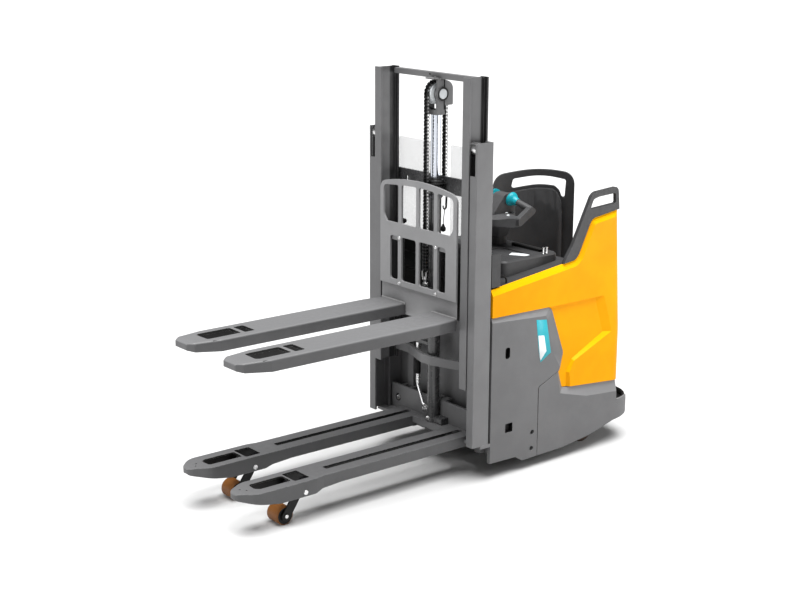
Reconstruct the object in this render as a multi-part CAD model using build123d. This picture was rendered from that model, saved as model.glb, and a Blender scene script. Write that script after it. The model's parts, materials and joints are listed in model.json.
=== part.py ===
from build123d import *
import math
import os

# Double-deck stacker with an operator's stand and an initial lift, standing with its load frame raised.
# Millimetres. +X points to the fork tips, +Y to the operator's left, +Z up, z = 0 is the floor.
# Lengths along X are distances ahead of the mast's front face, so those behind it are negative.
# A corner is (first coordinate, second coordinate, corner radius).

# Main sizes
MAST_FRONT = -22.0
COLUMN_HALF = 378.5
HALF_WIDTH = 376.0
REAR_END = -1120.0
RUNNING = 0.05
GAP = 0.5

# Outer mast columns and rollers
COLUMN_DEPTH = 97.0
COLUMN_FLANGE = 44.5
COLUMN_WALL = 10.0
COLUMN_FOOT = 180.0
COLUMN_TOP = 1570.0
FLANGE_CUT = 145.0
MAST_ROLLER = {"x": -35.0, "z": 1541.0, "radius": 29.5, "pin": 12.0, "inner": 316.0, "outer": 360.5}

# Inner mast rails and bars
RAIL_LEAD = 5.0
RAIL_DEPTH = 110.0
RAIL_FLANGE = 46.0
RAIL_WALL = 10.0
RAIL_HALF = 331.0
RAIL_FOOT = 446.0
RAIL_TOP = 1848.0
RAIL_INNER = RAIL_HALF - RAIL_FLANGE
TOP_BAR_DEPTH = 31.0
TOP_BAR_HEIGHT = 25.0
TOP_BAR_DROP = 6.0
TOP_BAR_HOLE = {"y": -30.0, "drop": 10.0, "radius": 5.0, "depth": 6.0}
LOWER_BAR = (488.0, 530.0)
LOWER_BAR_DEPTH = 18.0
LOWER_BAR_FRONT = {"end": -88.0, "end_half": 185.0, "bow": -34.0, "bow_half": 30.0, "round": 60.0}

# Mast cylinder
LIFT_X = -87.0
ROD_RADIUS = 23.0
ROD_FOOT = 560.0
TUBE_RADIUS = 29.0
TUBE_WALL = 5.0
TUBE_TOP = 1322.0
GLAND_RADIUS = 37.0
GLAND_TOP = 1358.0
CYLINDER_FOOT = {"radius": 33.0, "height": 20.0}
CYLINDER_LUG = (-110.0, -68.0, 20.0, 82.0, 30.0)
HOSE_RADIUS = 8.0
HOSE_BEND = 40.0
HOSE_UNION = 32.0
UNION_WALL = 3.0
HOSE_ROUTE = [(-99.0, -128.0, 556.0), (-99.0, -128.0, 345.0), (-92.0, -70.0, 246.0), (-87.0, -29.5, 246.0)]
HOSE_CLIP = (-108.0, -90.0, -142.0, -20.0, 556.0, 572.0)

# Chain and pulley
PULLEY_HEIGHT = 1749.0
PULLEY_RADIUS = 55.0
PULLEY_GROOVE = 13.0
PULLEY_FLANGE = 8.0
PULLEY_RIM = 50.0
AXLE_RADIUS = 32.0
AXLE_BORE = 24.0
HEAD_HALF = 44.0
HEAD_PLATE = 10.0
HEAD_FOOT = 1655.0
HEAD_BLOCK = 22.0
HEAD_FAR_CHEEK = 20.0
HEAD_BLOCK_FRONT = 32.0
HEAD_SLOT = {"x": -10.0, "half": 3.5, "depth": 6.0}
HEAD_BOSS = 4.0
CHAIN_HALF_DEPTH = 9.0
CHAIN_HALF_WIDTH = 12.0
CHAIN_FRONT_END = 930.0
CHAIN_REAR_END = 1350.0
CHAIN_FRONT_X = LIFT_X + PULLEY_RADIUS
CHAIN_REAR_X = LIFT_X - PULLEY_RADIUS
CHEEK_CORNERS = [
    (30.0, HEAD_FOOT, 0), (30.0, PULLEY_HEIGHT + 66, 4), (-8.0, PULLEY_HEIGHT + 66, 30),
    (-62.0, PULLEY_HEIGHT + 46, 40), (-62.0, PULLEY_HEIGHT - 52, 6), (-14.0, PULLEY_HEIGHT - 52, 6),
    (-14.0, HEAD_FOOT, 0),
]

# Outer crossbar and guard panes
CROSSBAR = (1293.0, 1369.0)
CROSSBAR_FRONT = -118.0
CROSSBAR_DEPTH = 14.0
CROSSBAR_HALF = 342.0
ANCHOR = {"half": 22.0, "rear": 12.0, "foot": 1308.0, "top": 1324.0, "stud": 7.0}
PANE_FRONT = -132.5
PANE_THICKNESS = 4.5
PANE_SPAN = (50.0, 320.0)
PANE_HEIGHT = (1090.0, 1516.0)
PANE_CORNER = 12.0

# Mast foot and initial lift
ARM_TOP = 196.0
FOOT_UNDERSIDE = 166.0
FOOT_FRONT = -54.0
FOOT_REAR = -110.0
FOOT_WALL = 12.0
FOOT_WALL_TOP = 300.0
FOOT_WALL_HALF = 340.0
COLUMN_SHOE = 15.0
COLUMN_SHOE_FRONT = -50.0
FOOT_WALL_HOLE = {"y": 293.0, "z": 234.0, "radius": 20.0}
GUIDE_RAIL = (225.0, 265.0)
GUIDE_SHOE = {"thickness": 19.5, "rear": -170.0, "foot": 170.0, "top": 300.0}
LIFT_ROD_X = -150.0
LIFT_ROD_Y = 26.0
LIFT_ROD_RADIUS = 10.0
LIFT_ROD = (167.0, 280.0)
LIFT_TUBE_RADIUS = 17.0
LIFT_TUBE = (52.0, 176.0)
LIFT_TUBE_BASE = 12.0
LIFT_BRACKET_HALF = 21.0
LIFT_SHELF = 20.0

# Support arms, rockers and load wheels
ARM_CENTRE = 187.5
ARM_HALF = 75.0
ARM_TIP_OUT = 272.0
ARM_WALL = 8.0
ARM_TROUGH_END = 1070.0
ARM_PLAN = [
    (FOOT_REAR, ARM_CENTRE - ARM_HALF, 0), (1075.0, ARM_CENTRE - ARM_HALF, 90), (1162.0, 162.0, 38),
    (1162.0, 212.0, 38), (1095.0, ARM_TIP_OUT, 90), (790.0, ARM_TIP_OUT, 20),
    (745.0, ARM_CENTRE + ARM_HALF, 20), (FOOT_REAR, ARM_CENTRE + ARM_HALF, 0),
]
ARM_SIDE = [
    (FOOT_REAR, 146.0, 0), (650.0, 146.0, 60), (757.0, 139.0, 20), (795.0, 128.0, 30), (975.0, 128.0, 60),
    (1050.0, 141.0, 60), (1163.0, 166.0, 12), (1163.0, ARM_TOP - 4, 10), (1135.0, ARM_TOP, 30),
    (FOOT_REAR, ARM_TOP, 0),
]
ARM_FRONT_WINDOW = [
    (890.0, 152.0, 8), (1062.0, 152.0, 14), (1066.0, 206.0, 14), (1046.0, 224.0, 18), (890.0, 224.0, 8),
]
ARM_REAR_WINDOW = (804.0, 881.0, 137.0, 238.0, 6.0)
ARM_SLOT = (-100.0, 690.0, 172.0, 203.0, 6.0)
ARM_TIP_HOLES = [(1118.0, 176.0), (1100.0, 200.0)]
ARM_TIP_HOLE_RADIUS = 4.5
PIVOT = (850.0, 148.0)
HUB = (921.0, 42.5)
PIN_RADIUS = 10.0
PIN_PROUD = 2.0
LOAD_WHEEL_RADIUS = 42.5
LOAD_WHEEL_SPAN = (140.5, 220.5)
LOAD_WHEEL_BEVEL = 4.0
ROCKER_PLATE = 8.0
ROCKER_CLEARANCE = 2.5
ROCKER_HALF_WIDTH = 21.0
ROCKER_TUBE = 17.0
ROCKER_LUG = {"half": 7.0, "height": 26.0}
PUSH_ROD = (-75.0, 818.0)
PUSH_ROD_HEIGHT = (158.0, 180.0)
PUSH_ROD_HALF = 7.0

# Carriage, load guard and forks
CARRIAGE_FRONT = 8.0
CARRIAGE_PLATE = 12.0
CARRIAGE_HALF = 270.0
CARRIAGE_FOOT = 760.0
TONGUE = (715.0, 95.0)
UPRIGHT = (118.0, 142.0)
SIDE_PLATE = {"rear": -98.0, "wall": 14.0, "foot": 832.0, "top": 1082.0}
SLIDE_PAD = {"rear": -92.0, "front": -8.0, "height": 56.0, "reach": 12.0}
CARRIAGE_ROLLER = {"x": -50.0, "z": 885.0, "pin": 15.0, "width": 15.0}
STUD = {"radius": 8.0, "half": 30.0, "height": 26.0, "rear": 14.0}
GUARD_THICKNESS = 10.0
GUARD_HALF = 272.0
GUARD_FOOT = 846.0
GUARD_CROWN = 1356.0
GUARD_SHOULDER = (232.0, 1334.0)
GUARD_SIDE_TOP = 1294.0
GUARD_CORNER = 46.0
GUARD_WINDOWS = [
    [(10.0, 1142.0, 10), (115.0, 1142.0, 10), (115.0, 1324.0, 10), (10.0, 1329.0, 10)],
    [(139.0, 1142.0, 10), (226.0, 1142.0, 0), (248.0, 1172.0, 30), (248.0, 1312.0, 24), (139.0, 1322.0, 10)],
    [(11.0, 872.0, 12), (116.0, 872.0, 12), (116.0, 1080.0, 12), (11.0, 1080.0, 12)],
    [(141.0, 872.0, 14), (198.0, 872.0, 14), (198.0, 1080.0, 14), (141.0, 1080.0, 14)],
]
BOLT_RADIUS = 8.0
BOLT_HEAD = 6.0
BOLT_HEIGHTS = (858.0, 1075.0)
FORK_LENGTH = 1150.0
FORK_WIDTH = 185.0
FORK_SPACING = 380.0
FORK_TOP = 768.0
FORK_HEEL = CARRIAGE_FRONT
FORK_TIP = 14.0 + FORK_LENGTH
FORK_TAPER = 1015.0
FORK_SHOULDER = (1136.0, 71.0)
FORK_TIP_HALF = 44.0
FORK_HEEL_TAPER = (120.0, 14.0)
FORK_EDGE = 10.0
FORK_ROOF = 12.0
FORK_WALL = 9.0
FORK_HEEL_WALL = 14.0
FORK_SIDE = [
    (FORK_HEEL, FORK_TOP, 0), (FORK_TIP - 40, FORK_TOP, 40), (FORK_TIP, FORK_TOP - 5, 8),
    (FORK_TIP, FORK_TOP - 33, 6), (1133.0, FORK_TOP - 41, 20), (FORK_TAPER, FORK_TOP - 52, 30),
    (FORK_HEEL, FORK_TOP - 54, 0),
]
FORK_WINDOW = [
    (888.0, -49.0, 9), (1059.0, -49.0, 12), (1062.0, 38.0, 12), (1046.0, 49.0, 16), (888.0, 49.0, 9),
]
FORK_REAR_WINDOW = (818.0, 869.0, -50.0, 49.0, 6.0)
FORK_TROUGH_END = (1085.0, 58.0)

# Covers and hull
COVER_THICKNESS = 20.0
HULL_FRONT = -112.0
HULL_LEFT = [
    (-972.0, 324.0, 12), (-577.0, 358.0, 8), (-547.0, 452.0, 20), (-579.0, 530.0, 30), (-490.0, 769.0, 45),
    (HULL_FRONT, 773.0, 0), (HULL_FRONT, 901.0, 8), (-647.0, 968.0, 60), (-738.0, 1150.0, 40),
    (-934.0, 1177.0, 18), (-975.0, 577.0, 0),
]
HULL_WALL = [
    (-972.0, 324.0, 0), (-664.0, 350.5, 0), (-664.0, 1002.0, 0), (-738.0, 1150.0, 40), (-934.0, 1177.0, 18),
    (-975.0, 577.0, 0),
]
HULL_WALL_THICKNESS = 70.0
HULL_REAR_ROUND = 60.0
HULL_BEVEL = 16.0
HULL_BEVEL_ANGLE = 60.0
HULL_HEAD = [
    (-60.0, 894.5, 0), (-647.0, 968.0, 60), (-738.0, 1150.0, 40), (-1050.0, 1193.0, 0), (-1050.0, 250.0, 0),
    (-60.0, 250.0, 0),
]
HULL_RECESS_DEPTH = 14.0
HULL_RECESS_FLOOR = [
    (-440.0, 768.0, 0), (-784.0, 768.0, 0), (-845.0, 585.0, 0), (-638.0, 487.0, 0), (-603.0, 428.0, 0),
    (-612.0, 300.0, 0), (-440.0, 300.0, 0),
]
HULL_RECESS_RIM = [
    (-440.0, 768.0, 0), (-832.0, 768.0, 0), (-894.0, 582.0, 0), (-642.0, 478.0, 0), (-615.0, 424.0, 0),
    (-624.0, 300.0, 0), (-440.0, 300.0, 0),
]
HULL_RIGHT = [
    (-722.0, 346.0, 0), (-577.0, 358.0, 8), (-547.0, 452.0, 20), (-579.0, 530.0, 30), (-490.0, 769.0, 45),
    (HULL_FRONT, 773.0, 0), (HULL_FRONT, 901.0, 8), (-647.0, 968.0, 90), (-722.0, 1000.0, 0),
]
HULL_ARC = {"outer": 361.0, "foot_outer": 341.0, "foot": 201.0, "sill": 346.0, "top": 1000.0, "end": -164.0}
COVER_SIDE = [
    (HULL_FRONT, 81.0, 0), (-272.0, 78.0, 0), (-318.0, 51.0, 0), (-411.0, 54.0, 0), (-409.0, 392.0, 14),
    (-544.0, 449.0, 8), (-576.0, 530.0, 30), (-488.0, 766.0, 44), (HULL_FRONT, 770.0, 0),
]
COVER_BEVEL = 10.0
COVER_FACE = [
    (-60.0, 753.0, 0), (-446.0, 731.0, 0), (-460.0, 712.0, 0), (-506.0, 535.0, 0), (-572.0, 430.0, 0),
    (-572.0, 0.0, 0), (-60.0, 0.0, 0),
]
COVER_EDGE = [
    (-60.0, 772.0, 0), (-482.0, 770.0, 0), (-496.0, 752.0, 0), (-584.0, 530.0, 0), (-600.0, 430.0, 0),
    (-600.0, 0.0, 0), (-60.0, 0.0, 0),
]
COVER_SLOT = (-225.0, -196.0, 566.0, 620.0, 12.0)
COVER_WINDOW = (-250.0, -204.0, 210.0, 254.0, 5.0)
COVER_HOLES = [(-378.0, 177.0), (-375.0, 98.0)]
COVER_HOLE_RADIUS = 12.0
SKIRT_WALL = 18.0
SKIRT_FRONT = -414.0
SKIRT_CORNER = 172.0
SKIRT_SIDE = [
    (SKIRT_FRONT, 54.0, 0), (-580.0, 57.0, 300), (-760.0, 79.0, 300), (-930.0, 122.0, 200),
    (REAR_END - 1, 138.0, 0), (REAR_END - 1, 196.0, 0), (-947.0, 196.0, 10), (-943.0, 323.8, 0),
    (-575.4, 355.4, 8), (-546.3, 447.5, 0), (-412.0, 389.0, 14),
]
SKIRT_BEVEL = 12.0
SKIRT_FACE = [
    (-300.0, 500.0, 0), (-522.0, 500.0, 0), (-533.0, 444.0, 0), (-555.0, 333.0, 0), (-737.0, 284.0, 0),
    (-941.0, 268.0, 0), (-1200.0, 250.0, 0), (-1200.0, 0.0, 0), (-300.0, 0.0, 0),
]
SKIRT_EDGE = [
    (-300.0, 502.0, 0), (-535.0, 502.0, 0), (-548.0, 447.0, 0), (-577.0, 357.0, 0), (-737.0, 344.0, 0),
    (-941.0, 328.0, 0), (-1200.0, 310.0, 0), (-1200.0, 0.0, 0), (-300.0, 0.0, 0),
]
GRAB_SPAN = (352.0, 370.0)
GRAB_RIM = [
    (-560.0, 959.5, 0), (-645.7, 969.9, 58), (-736.7, 1151.8, 42), (-921.0, 1177.2, 0), (-909.5, 1287.5, 26),
    (-736.0, 1275.3, 50), (-612.7, 1036.0, 80), (-575.0, 985.0, 20),
]
GRAB_OPENING = [
    (-724.5, 1198.5, 5), (-744.0, 1243.0, 22), (-778.0, 1251.0, 10), (-892.0, 1257.0, 10),
    (-894.5, 1209.5, 8),
]

# Backrest, with outlines across its middle direction
SEAT_CENTRE = (-722.0, -15.0)
BACK_DIRECTION = -134.5
BACK_SPREAD = 48.0
SHELL_INNER = 280.0
SHELL_OUTER = 305.0
SHELL_OUTLINE = [
    (-203.0, 640.0, 0), (203.0, 640.0, 0), (203.0, 1281.0, 54), (30.0, 1295.0, 900), (-203.0, 1261.0, 62),
]
SHELL_OPENING = [
    (-114.0, 1190.0, 12), (30.0, 1214.0, 400), (105.0, 1209.0, 20), (129.0, 1190.0, 26), (154.0, 1130.0, 8),
    (161.0, 1249.0, 12), (36.0, 1263.0, 500), (-103.0, 1242.0, 14),
]
PAD_OUTLINE = [
    (-168.0, 690.0, 40), (146.0, 690.0, 40), (146.0, 1133.0, 20), (125.0, 1181.0, 26), (101.0, 1200.0, 24),
    (30.0, 1205.0, 400), (-168.0, 1173.0, 40),
]
PAD_HEIGHT = (680.0, 1222.0)
PAD_RIM = 10.0
PAD_CROWN = 28.0

# Console and steering
SCREEN = (-160.0, -145.0)
SCREEN_HALF = 325.0
SCREEN_HEIGHT = (700.0, 1066.0)
DECK_SLOPE = [(-150.0, 905.0), (-640.0, 963.0)]
DECK_HALF = 353.0
DECK_THICKNESS = 9.0
DECK_REAR = -640.0
REAR_PANEL = (740.0, 955.0)
POST = {"rear": -165.0, "inner": 324.0, "outer": 365.0, "foot": 911.0, "top": 1063.0}
TRAY_BODY = (-610.0, -255.0, -285.0, 285.0, 34.0)
TRAY_TOP = 995.0
TRAY_WALL = 9.0
TRAY_BEVEL = 8.0
TRAY_RECESS = (-470.0, -300.0, 40.0, 250.0, 22.0)
TRAY_RECESS_DEPTH = 5.0
STEER_X = -520.0
STEER_Y = -40.0
STEER_Z = 1150.0
STEER_COLUMN = 42.0
STEER_COLUMN_TOP = 1041.0
STEER_SHAFT = 12.0
STEER_SHAFT_DEPTH = 60.0
STEER_DISH = [
    (112.0, -95.0, 50), (112.0, 95.0, 50), (40.0, 178.0, 12), (8.0, 178.0, 8), (-8.0, 78.0, 30),
    (-62.0, 58.0, 24), (-62.0, -58.0, 24), (-8.0, -78.0, 30), (8.0, -178.0, 8), (40.0, -178.0, 12),
]
STEER_DISH_SIDE = [
    (-70.0, -4.0, 0), (-70.0, -24.0, 0), (-20.0, -34.0, 30), (60.0, -48.0, 40), (120.0, -45.0, 0),
    (120.0, -16.0, 0), (60.0, -4.0, 40),
]
STEER_HUB_HALF = 38.0
STEER_HUB_SIDE = [
    (-74.0, -16.0, 0), (-74.0, 66.0, 14), (-44.0, 90.0, 18), (-6.0, 86.0, 24), (66.0, 0.0, 30),
    (66.0, -16.0, 0),
]
STEER_ARM_SPAN = (164.0, 192.0)
STEER_ARM_SIDE = [
    (-64.0, 30.0, 12), (-34.0, 46.0, 14), (46.0, -4.0, 12), (46.0, -42.0, 8), (26.0, -35.0, 14),
    (-57.0, 13.0, 12),
]
STEER_BELLY = [(96.0, -90.0, 50), (96.0, 90.0, 50), (-30.0, 128.0, 36), (-30.0, -128.0, 36)]
STEER_BELLY_TOP = -34.0
STEER_BELLY_DEPTH = 74.5
STEER_BELLY_TAPER = 30.0
GRIP_START = (-30.0, 30.0, 70.8)
GRIP_END = (-43.0, 180.0, 28.8)
GRIP_RADIUS = 16.0
SWITCH_SPAN = (20.0, 68.0)
SWITCH_PROFILE = [(0.0, 33.0), (9.0, 34.0), (17.0, 30.0), (27.0, 23.0), (38.0, 19.5), (48.0, 18.5)]
BUTTON = {"x": 10.0, "y": 66.0, "radius": 8.0, "foot": -8.5, "top": 1.0, "well": 4.0}

# Chassis, stand and machine room
FLOOR = (155.0, 170.0)
CHASSIS_FRONT = -178.0
CHASSIS_WALL = 12.0
CHASSIS_WALL_HEIGHT = (92.0, 720.0)
CHASSIS_REAR = -1094.0
CHASSIS_CORNER = 150.0
CHASSIS_HALF = 353.0
SIDE_WALL_HEIGHT = (100.0, 735.0)
BULKHEAD = (-652.0, -641.0)
BULKHEAD_TOP = 950.0
BULKHEAD_HALF = 301.0
RAIL_REACH = 28.0
RAIL_HEIGHT = (92.0, 680.0)
LIFT_SEAT = (40.0, 52.0)
LIFT_SEAT_LIP = 3.0
MAT_FRONT = -654.0
MAT_REAR = -1098.0
MAT_HALF = 294.0
MAT_CORNER = 150.0
MAT_THICKNESS = 30.0
MAT_GROOVE = {"first": -690.0, "pitch": 26.0, "count": 14, "half": 5.0, "depth": 4.0}
MAT_LIP = {"width": 24.0, "front": -990.0, "top": 214.0}
BATTERY = (-362.0, -194.0)
BATTERY_HALF = 300.0
BATTERY_TOP = 600.0
BATTERY_SEAM = 4.0
TERMINAL = {"x": -280.0, "y": 200.0, "radius": 14.0, "height": 22.0}
TANK = (-628.0, -388.0, 190.0, 320.0)
TANK_TOP = 420.0
PUMP_RADIUS = 58.0
PUMP_HEIGHT = 180.0
CONTROLLER = (-628.0, -400.0, -320.0, -210.0)
CONTROLLER_TOP = 380.0
DRIVE_X = -504.0
TURRET_RADIUS = 135.0
TURRET_WALL = 9.0
TURRET_LIFT = 0.4
TURRET_ROOF = (236.0, 250.0)
DRIVE_RADIUS = 115.0
DRIVE_HALF = 39.0
DRIVE_BEVEL = 6.0
DRIVE_AXLE = 20.0
DRIVE_AXLE_END = -35.0
MOTOR_RADIUS = 82.0
MOTOR_TOP = 520.0
GEAR_LEG = {"half": 48.0, "inner": 47.0, "outer": 110.0, "foot": 78.0}
CASTOR = {"x": -800.0, "y": 240.0, "radius": 70.0, "half": 25.0, "trail": 35.0, "axle": 8.0, "bevel": 5.0}
CASTOR_PLATE = {"radius": 40.0, "foot": 145.0, "leg": 6.0, "side": 3.0}
CASTOR_LEG = {"hub": 14.0, "front": 30.0, "rear": 36.0, "lap": 5.0, "round": 10.0}


# Shapes


def at(distance):
    """X of a point a distance ahead of the mast's front face."""
    return MAST_FRONT + distance


def shifted(corners, along=0.0, across=0.0):
    """Corners moved by two amounts."""
    return [(u + along, v + across, radius) for u, v, radius in corners]


def from_mast(corners):
    """Corners whose first coordinate is a distance ahead of the mast's front face."""
    return shifted(corners, along=MAST_FRONT)


def rectangle(u0, u1, v0, v1, radius):
    """Corners of a rectangle with one corner radius."""
    return [(u0, v0, radius), (u1, v0, radius), (u1, v1, radius), (u0, v1, radius)]


def outline(corners):
    """Flat face through corners, where a radius of 0 leaves the corner sharp."""
    starts = []
    middles = []
    ends = []
    count = len(corners)
    for index, (u, v, radius) in enumerate(corners):
        corner = Vector(u, v, 0)
        before = corners[index - 1]
        after = corners[(index + 1) % count]
        back = (Vector(before[0], before[1], 0) - corner).normalized()
        forth = (Vector(after[0], after[1], 0) - corner).normalized()
        half_angle = math.acos(max(-1.0, min(1.0, back.dot(forth)))) / 2
        reach = radius / math.tan(half_angle)
        starts.append(corner + back * reach)
        ends.append(corner + forth * reach)
        middles.append(corner + (back + forth).normalized() * (radius / math.sin(half_angle) - radius))
    edges = []
    for index in range(count):
        if corners[index][2]:
            edges.append(ThreePointArc(starts[index], middles[index], ends[index]))
        edges.append(Line(ends[index], starts[(index + 1) % count]))
    return make_face(edges)


def prism_x(corners, x0, x1):
    """Solid between two X values with an outline in Y and Z."""
    plane = Plane(origin=(x0, 0, 0), x_dir=(0, 1, 0), z_dir=(1, 0, 0))
    return extrude(plane * outline(corners), x1 - x0)


def prism_y(corners, y0, y1):
    """Solid between two Y values with an outline in X and Z."""
    plane = Plane(origin=(0, y1, 0), x_dir=(1, 0, 0), z_dir=(0, -1, 0))
    return extrude(plane * outline(corners), y1 - y0)


def prism_z(corners, z0, z1):
    """Solid between two Z values with an outline in X and Y."""
    return extrude(Pos(0, 0, z0) * outline(corners), z1 - z0)


def between_y(corners0, y0, corners1, y1):
    """Solid with straight sides between an outline at one Y value and an outline at another."""
    faces = []
    for corners, y in ((corners0, y0), (corners1, y1)):
        plane = Plane(origin=(0, y, 0), x_dir=(1, 0, 0), z_dir=(0, -1, 0))
        faces.append(plane * outline(from_mast(corners)))
    return loft(faces, ruled=True)


def bevelled(panel, face, edge, depth, inner):
    """Left panel with its outer face drawn in to one outline and its depth to another."""
    start = HALF_WIDTH - depth
    keep = between_y(edge, start, face, HALF_WIDTH)
    keep += prism_y(from_mast(edge), inner - 1, start)
    return panel & keep


def block(x0, x1, y0, y1, z0, z1):
    """Box between two corners."""
    return Pos((x0 + x1) / 2, (y0 + y1) / 2, (z0 + z1) / 2) * Box(x1 - x0, abs(y1 - y0), z1 - z0)


def bar_y(x, z, radius, y0, y1):
    """Round bar along Y."""
    return Pos(x, (y0 + y1) / 2, z) * Rot(90, 0, 0) * Cylinder(radius, abs(y1 - y0))


def bar_z(x, y, radius, z0, z1):
    """Round bar along Z."""
    return Pos(x, y, (z0 + z1) / 2) * Cylinder(radius, z1 - z0)


def right_hand(part):
    """Mirror image on the operator's right."""
    return mirror(part, about=Plane.XZ)


def around_seat(radius, angle, z):
    """Point on a circle round the operator's place."""
    turn = math.radians(angle)
    x = at(SEAT_CENTRE[0]) + radius * math.cos(turn)
    return Vector(x, SEAT_CENTRE[1] + radius * math.sin(turn), z)


def arc_wall(inner, outer, start, stop, z0, z1):
    """Upright wall on an arc round the operator's place, between two plan angles in degrees."""
    middle = (start + stop) / 2
    edges = [
        Line(around_seat(inner, start, z0), around_seat(outer, start, z0)),
        ThreePointArc(*[around_seat(outer, angle, z0) for angle in (start, middle, stop)]),
        Line(around_seat(outer, stop, z0), around_seat(inner, stop, z0)),
        ThreePointArc(*[around_seat(inner, angle, z0) for angle in (stop, middle, start)]),
    ]
    return extrude(make_face(edges), z1 - z0)


def back_prism(corners):
    """Solid through the backrest with an outline across its middle direction."""
    turn = math.radians(BACK_DIRECTION)
    plane = Plane(
        origin=around_seat(0, 0, 0),
        x_dir=(math.sin(turn), -math.cos(turn), 0),
        z_dir=(-math.cos(turn), -math.sin(turn), 0),
    )
    return extrude(plane * outline(corners), SHELL_OUTER + 1, both=True)


# Outer mast and load frame


def outer_column():
    """Left C-section column, its front flange cut away at the top, with the mast roller's pin."""
    front = at(0)
    rear = front - COLUMN_DEPTH
    inner = COLUMN_HALF - COLUMN_FLANGE
    web = COLUMN_HALF - COLUMN_WALL
    section = [
        (front, COLUMN_HALF, 3), (front, inner, 2), (front - COLUMN_WALL, inner, 0),
        (front - COLUMN_WALL, web, 6), (rear + COLUMN_WALL, web, 6), (rear + COLUMN_WALL, inner, 0),
        (rear, inner, 2), (rear, COLUMN_HALF, 3),
    ]
    column = prism_z(section, COLUMN_FOOT, COLUMN_TOP)
    cut_foot = COLUMN_TOP - FLANGE_CUT
    column -= block(front - COLUMN_WALL, front + 1, inner - 1, web, cut_foot, COLUMN_TOP + 1)
    pin_end = MAST_ROLLER["inner"] - 1
    return column + bar_y(at(MAST_ROLLER["x"]), MAST_ROLLER["z"], MAST_ROLLER["pin"], pin_end, web)


def outer_roller():
    """Left mast roller that bears on the inner mast's front flange."""
    x = at(MAST_ROLLER["x"])
    low, high = MAST_ROLLER["inner"], MAST_ROLLER["outer"]
    roller = bar_y(x, MAST_ROLLER["z"], MAST_ROLLER["radius"], low, high)
    return roller - bar_y(x, MAST_ROLLER["z"], MAST_ROLLER["pin"] + RUNNING, low - 1, high + 1)


def outer_crossbar():
    """Bar behind the columns' heads, with ears on the columns and the chain's fixed anchor."""
    front = at(CROSSBAR_FRONT)
    rear = front - CROSSBAR_DEPTH
    foot, top = CROSSBAR
    bar = block(rear, front, -CROSSBAR_HALF, CROSSBAR_HALF, foot, top)
    for side in (-1, 1):
        inner = side * (COLUMN_HALF - COLUMN_FLANGE)
        bar += block(front, at(-COLUMN_DEPTH), inner, side * CROSSBAR_HALF, foot, top)
    strand = at(CHAIN_REAR_X)
    half = ANCHOR["half"]
    bar += block(strand - ANCHOR["rear"], rear, -half, half, ANCHOR["foot"], ANCHOR["top"])
    bar += bar_z(strand, 0, ANCHOR["stud"], foot, CHAIN_REAR_END)
    return bar - bar_z(at(LIFT_X), 0, GLAND_RADIUS + GAP, foot - 1, top + 1)


def mast_foot():
    """Foot between the support arms: cross beam, column shoes, rear wall, guide shoes and lift shelves."""
    rear = at(FOOT_REAR)
    wall_rear = rear - FOOT_WALL
    inner = ARM_CENTRE - ARM_HALF
    outer = ARM_CENTRE + ARM_HALF
    foot = block(rear, at(FOOT_FRONT), -inner, inner, FOOT_UNDERSIDE, ARM_TOP)
    foot += block(wall_rear, rear, -FOOT_WALL_HALF, FOOT_WALL_HALF, FOOT_UNDERSIDE, FOOT_WALL_TOP)
    for side in (-1, 1):
        shoe_foot = COLUMN_FOOT - COLUMN_SHOE
        foot += block(rear, at(COLUMN_SHOE_FRONT), side * outer, side * COLUMN_HALF, shoe_foot, COLUMN_FOOT)
        thickness = GUIDE_SHOE["thickness"]
        for low in (GUIDE_RAIL[0] - GAP - thickness, GUIDE_RAIL[1] + GAP):
            guide_foot, guide_top = GUIDE_SHOE["foot"], GUIDE_SHOE["top"]
            guide_rear = at(GUIDE_SHOE["rear"])
            foot += block(guide_rear, wall_rear, side * low, side * (low + thickness), guide_foot, guide_top)
        near = side * (LIFT_ROD_Y - LIFT_BRACKET_HALF)
        far = side * (LIFT_ROD_Y + LIFT_BRACKET_HALF)
        shelf_rear = at(GUIDE_SHOE["rear"])
        foot += block(shelf_rear, wall_rear, near, far, LIFT_ROD[1], LIFT_ROD[1] + LIFT_SHELF)
        hole_y = side * FOOT_WALL_HOLE["y"]
        drill = Cylinder(FOOT_WALL_HOLE["radius"], 4 * FOOT_WALL)
        foot -= Pos(rear, hole_y, FOOT_WALL_HOLE["z"]) * Rot(0, 90, 0) * drill
    return foot - bar_z(at(LIFT_X), 0, TUBE_RADIUS + 1, ARM_TOP, FOOT_WALL_TOP + 1)


def support_arm():
    """Left support arm: an inverted trough with a deep nose, two tip windows and a long slot."""
    arm = prism_z(from_mast(ARM_PLAN), 0, ARM_TOP) & prism_y(from_mast(ARM_SIDE), 0, COLUMN_HALF)
    low = ARM_CENTRE - ARM_HALF + ARM_WALL
    high = ARM_CENTRE + ARM_HALF - ARM_WALL
    roof = ARM_TOP - ARM_WALL
    arm -= block(at(FOOT_REAR) + ARM_WALL, at(ARM_TROUGH_END), low, high, 0, roof)
    rear_window = rectangle(*ARM_REAR_WINDOW)
    slot = rectangle(*ARM_SLOT)
    for hole in (ARM_FRONT_WINDOW, rear_window, slot):
        arm -= prism_z(from_mast(hole), roof - 1, ARM_TOP + 1)
    for distance, across in ARM_TIP_HOLES:
        arm -= bar_z(at(distance), across, ARM_TIP_HOLE_RADIUS, roof, ARM_TOP + 1)
    pin_start = ARM_CENTRE - ARM_HALF - PIN_PROUD
    return arm + bar_y(at(PIVOT[0]), PIVOT[1], PIN_RADIUS, pin_start, ARM_TIP_OUT + PIN_PROUD)


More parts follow.
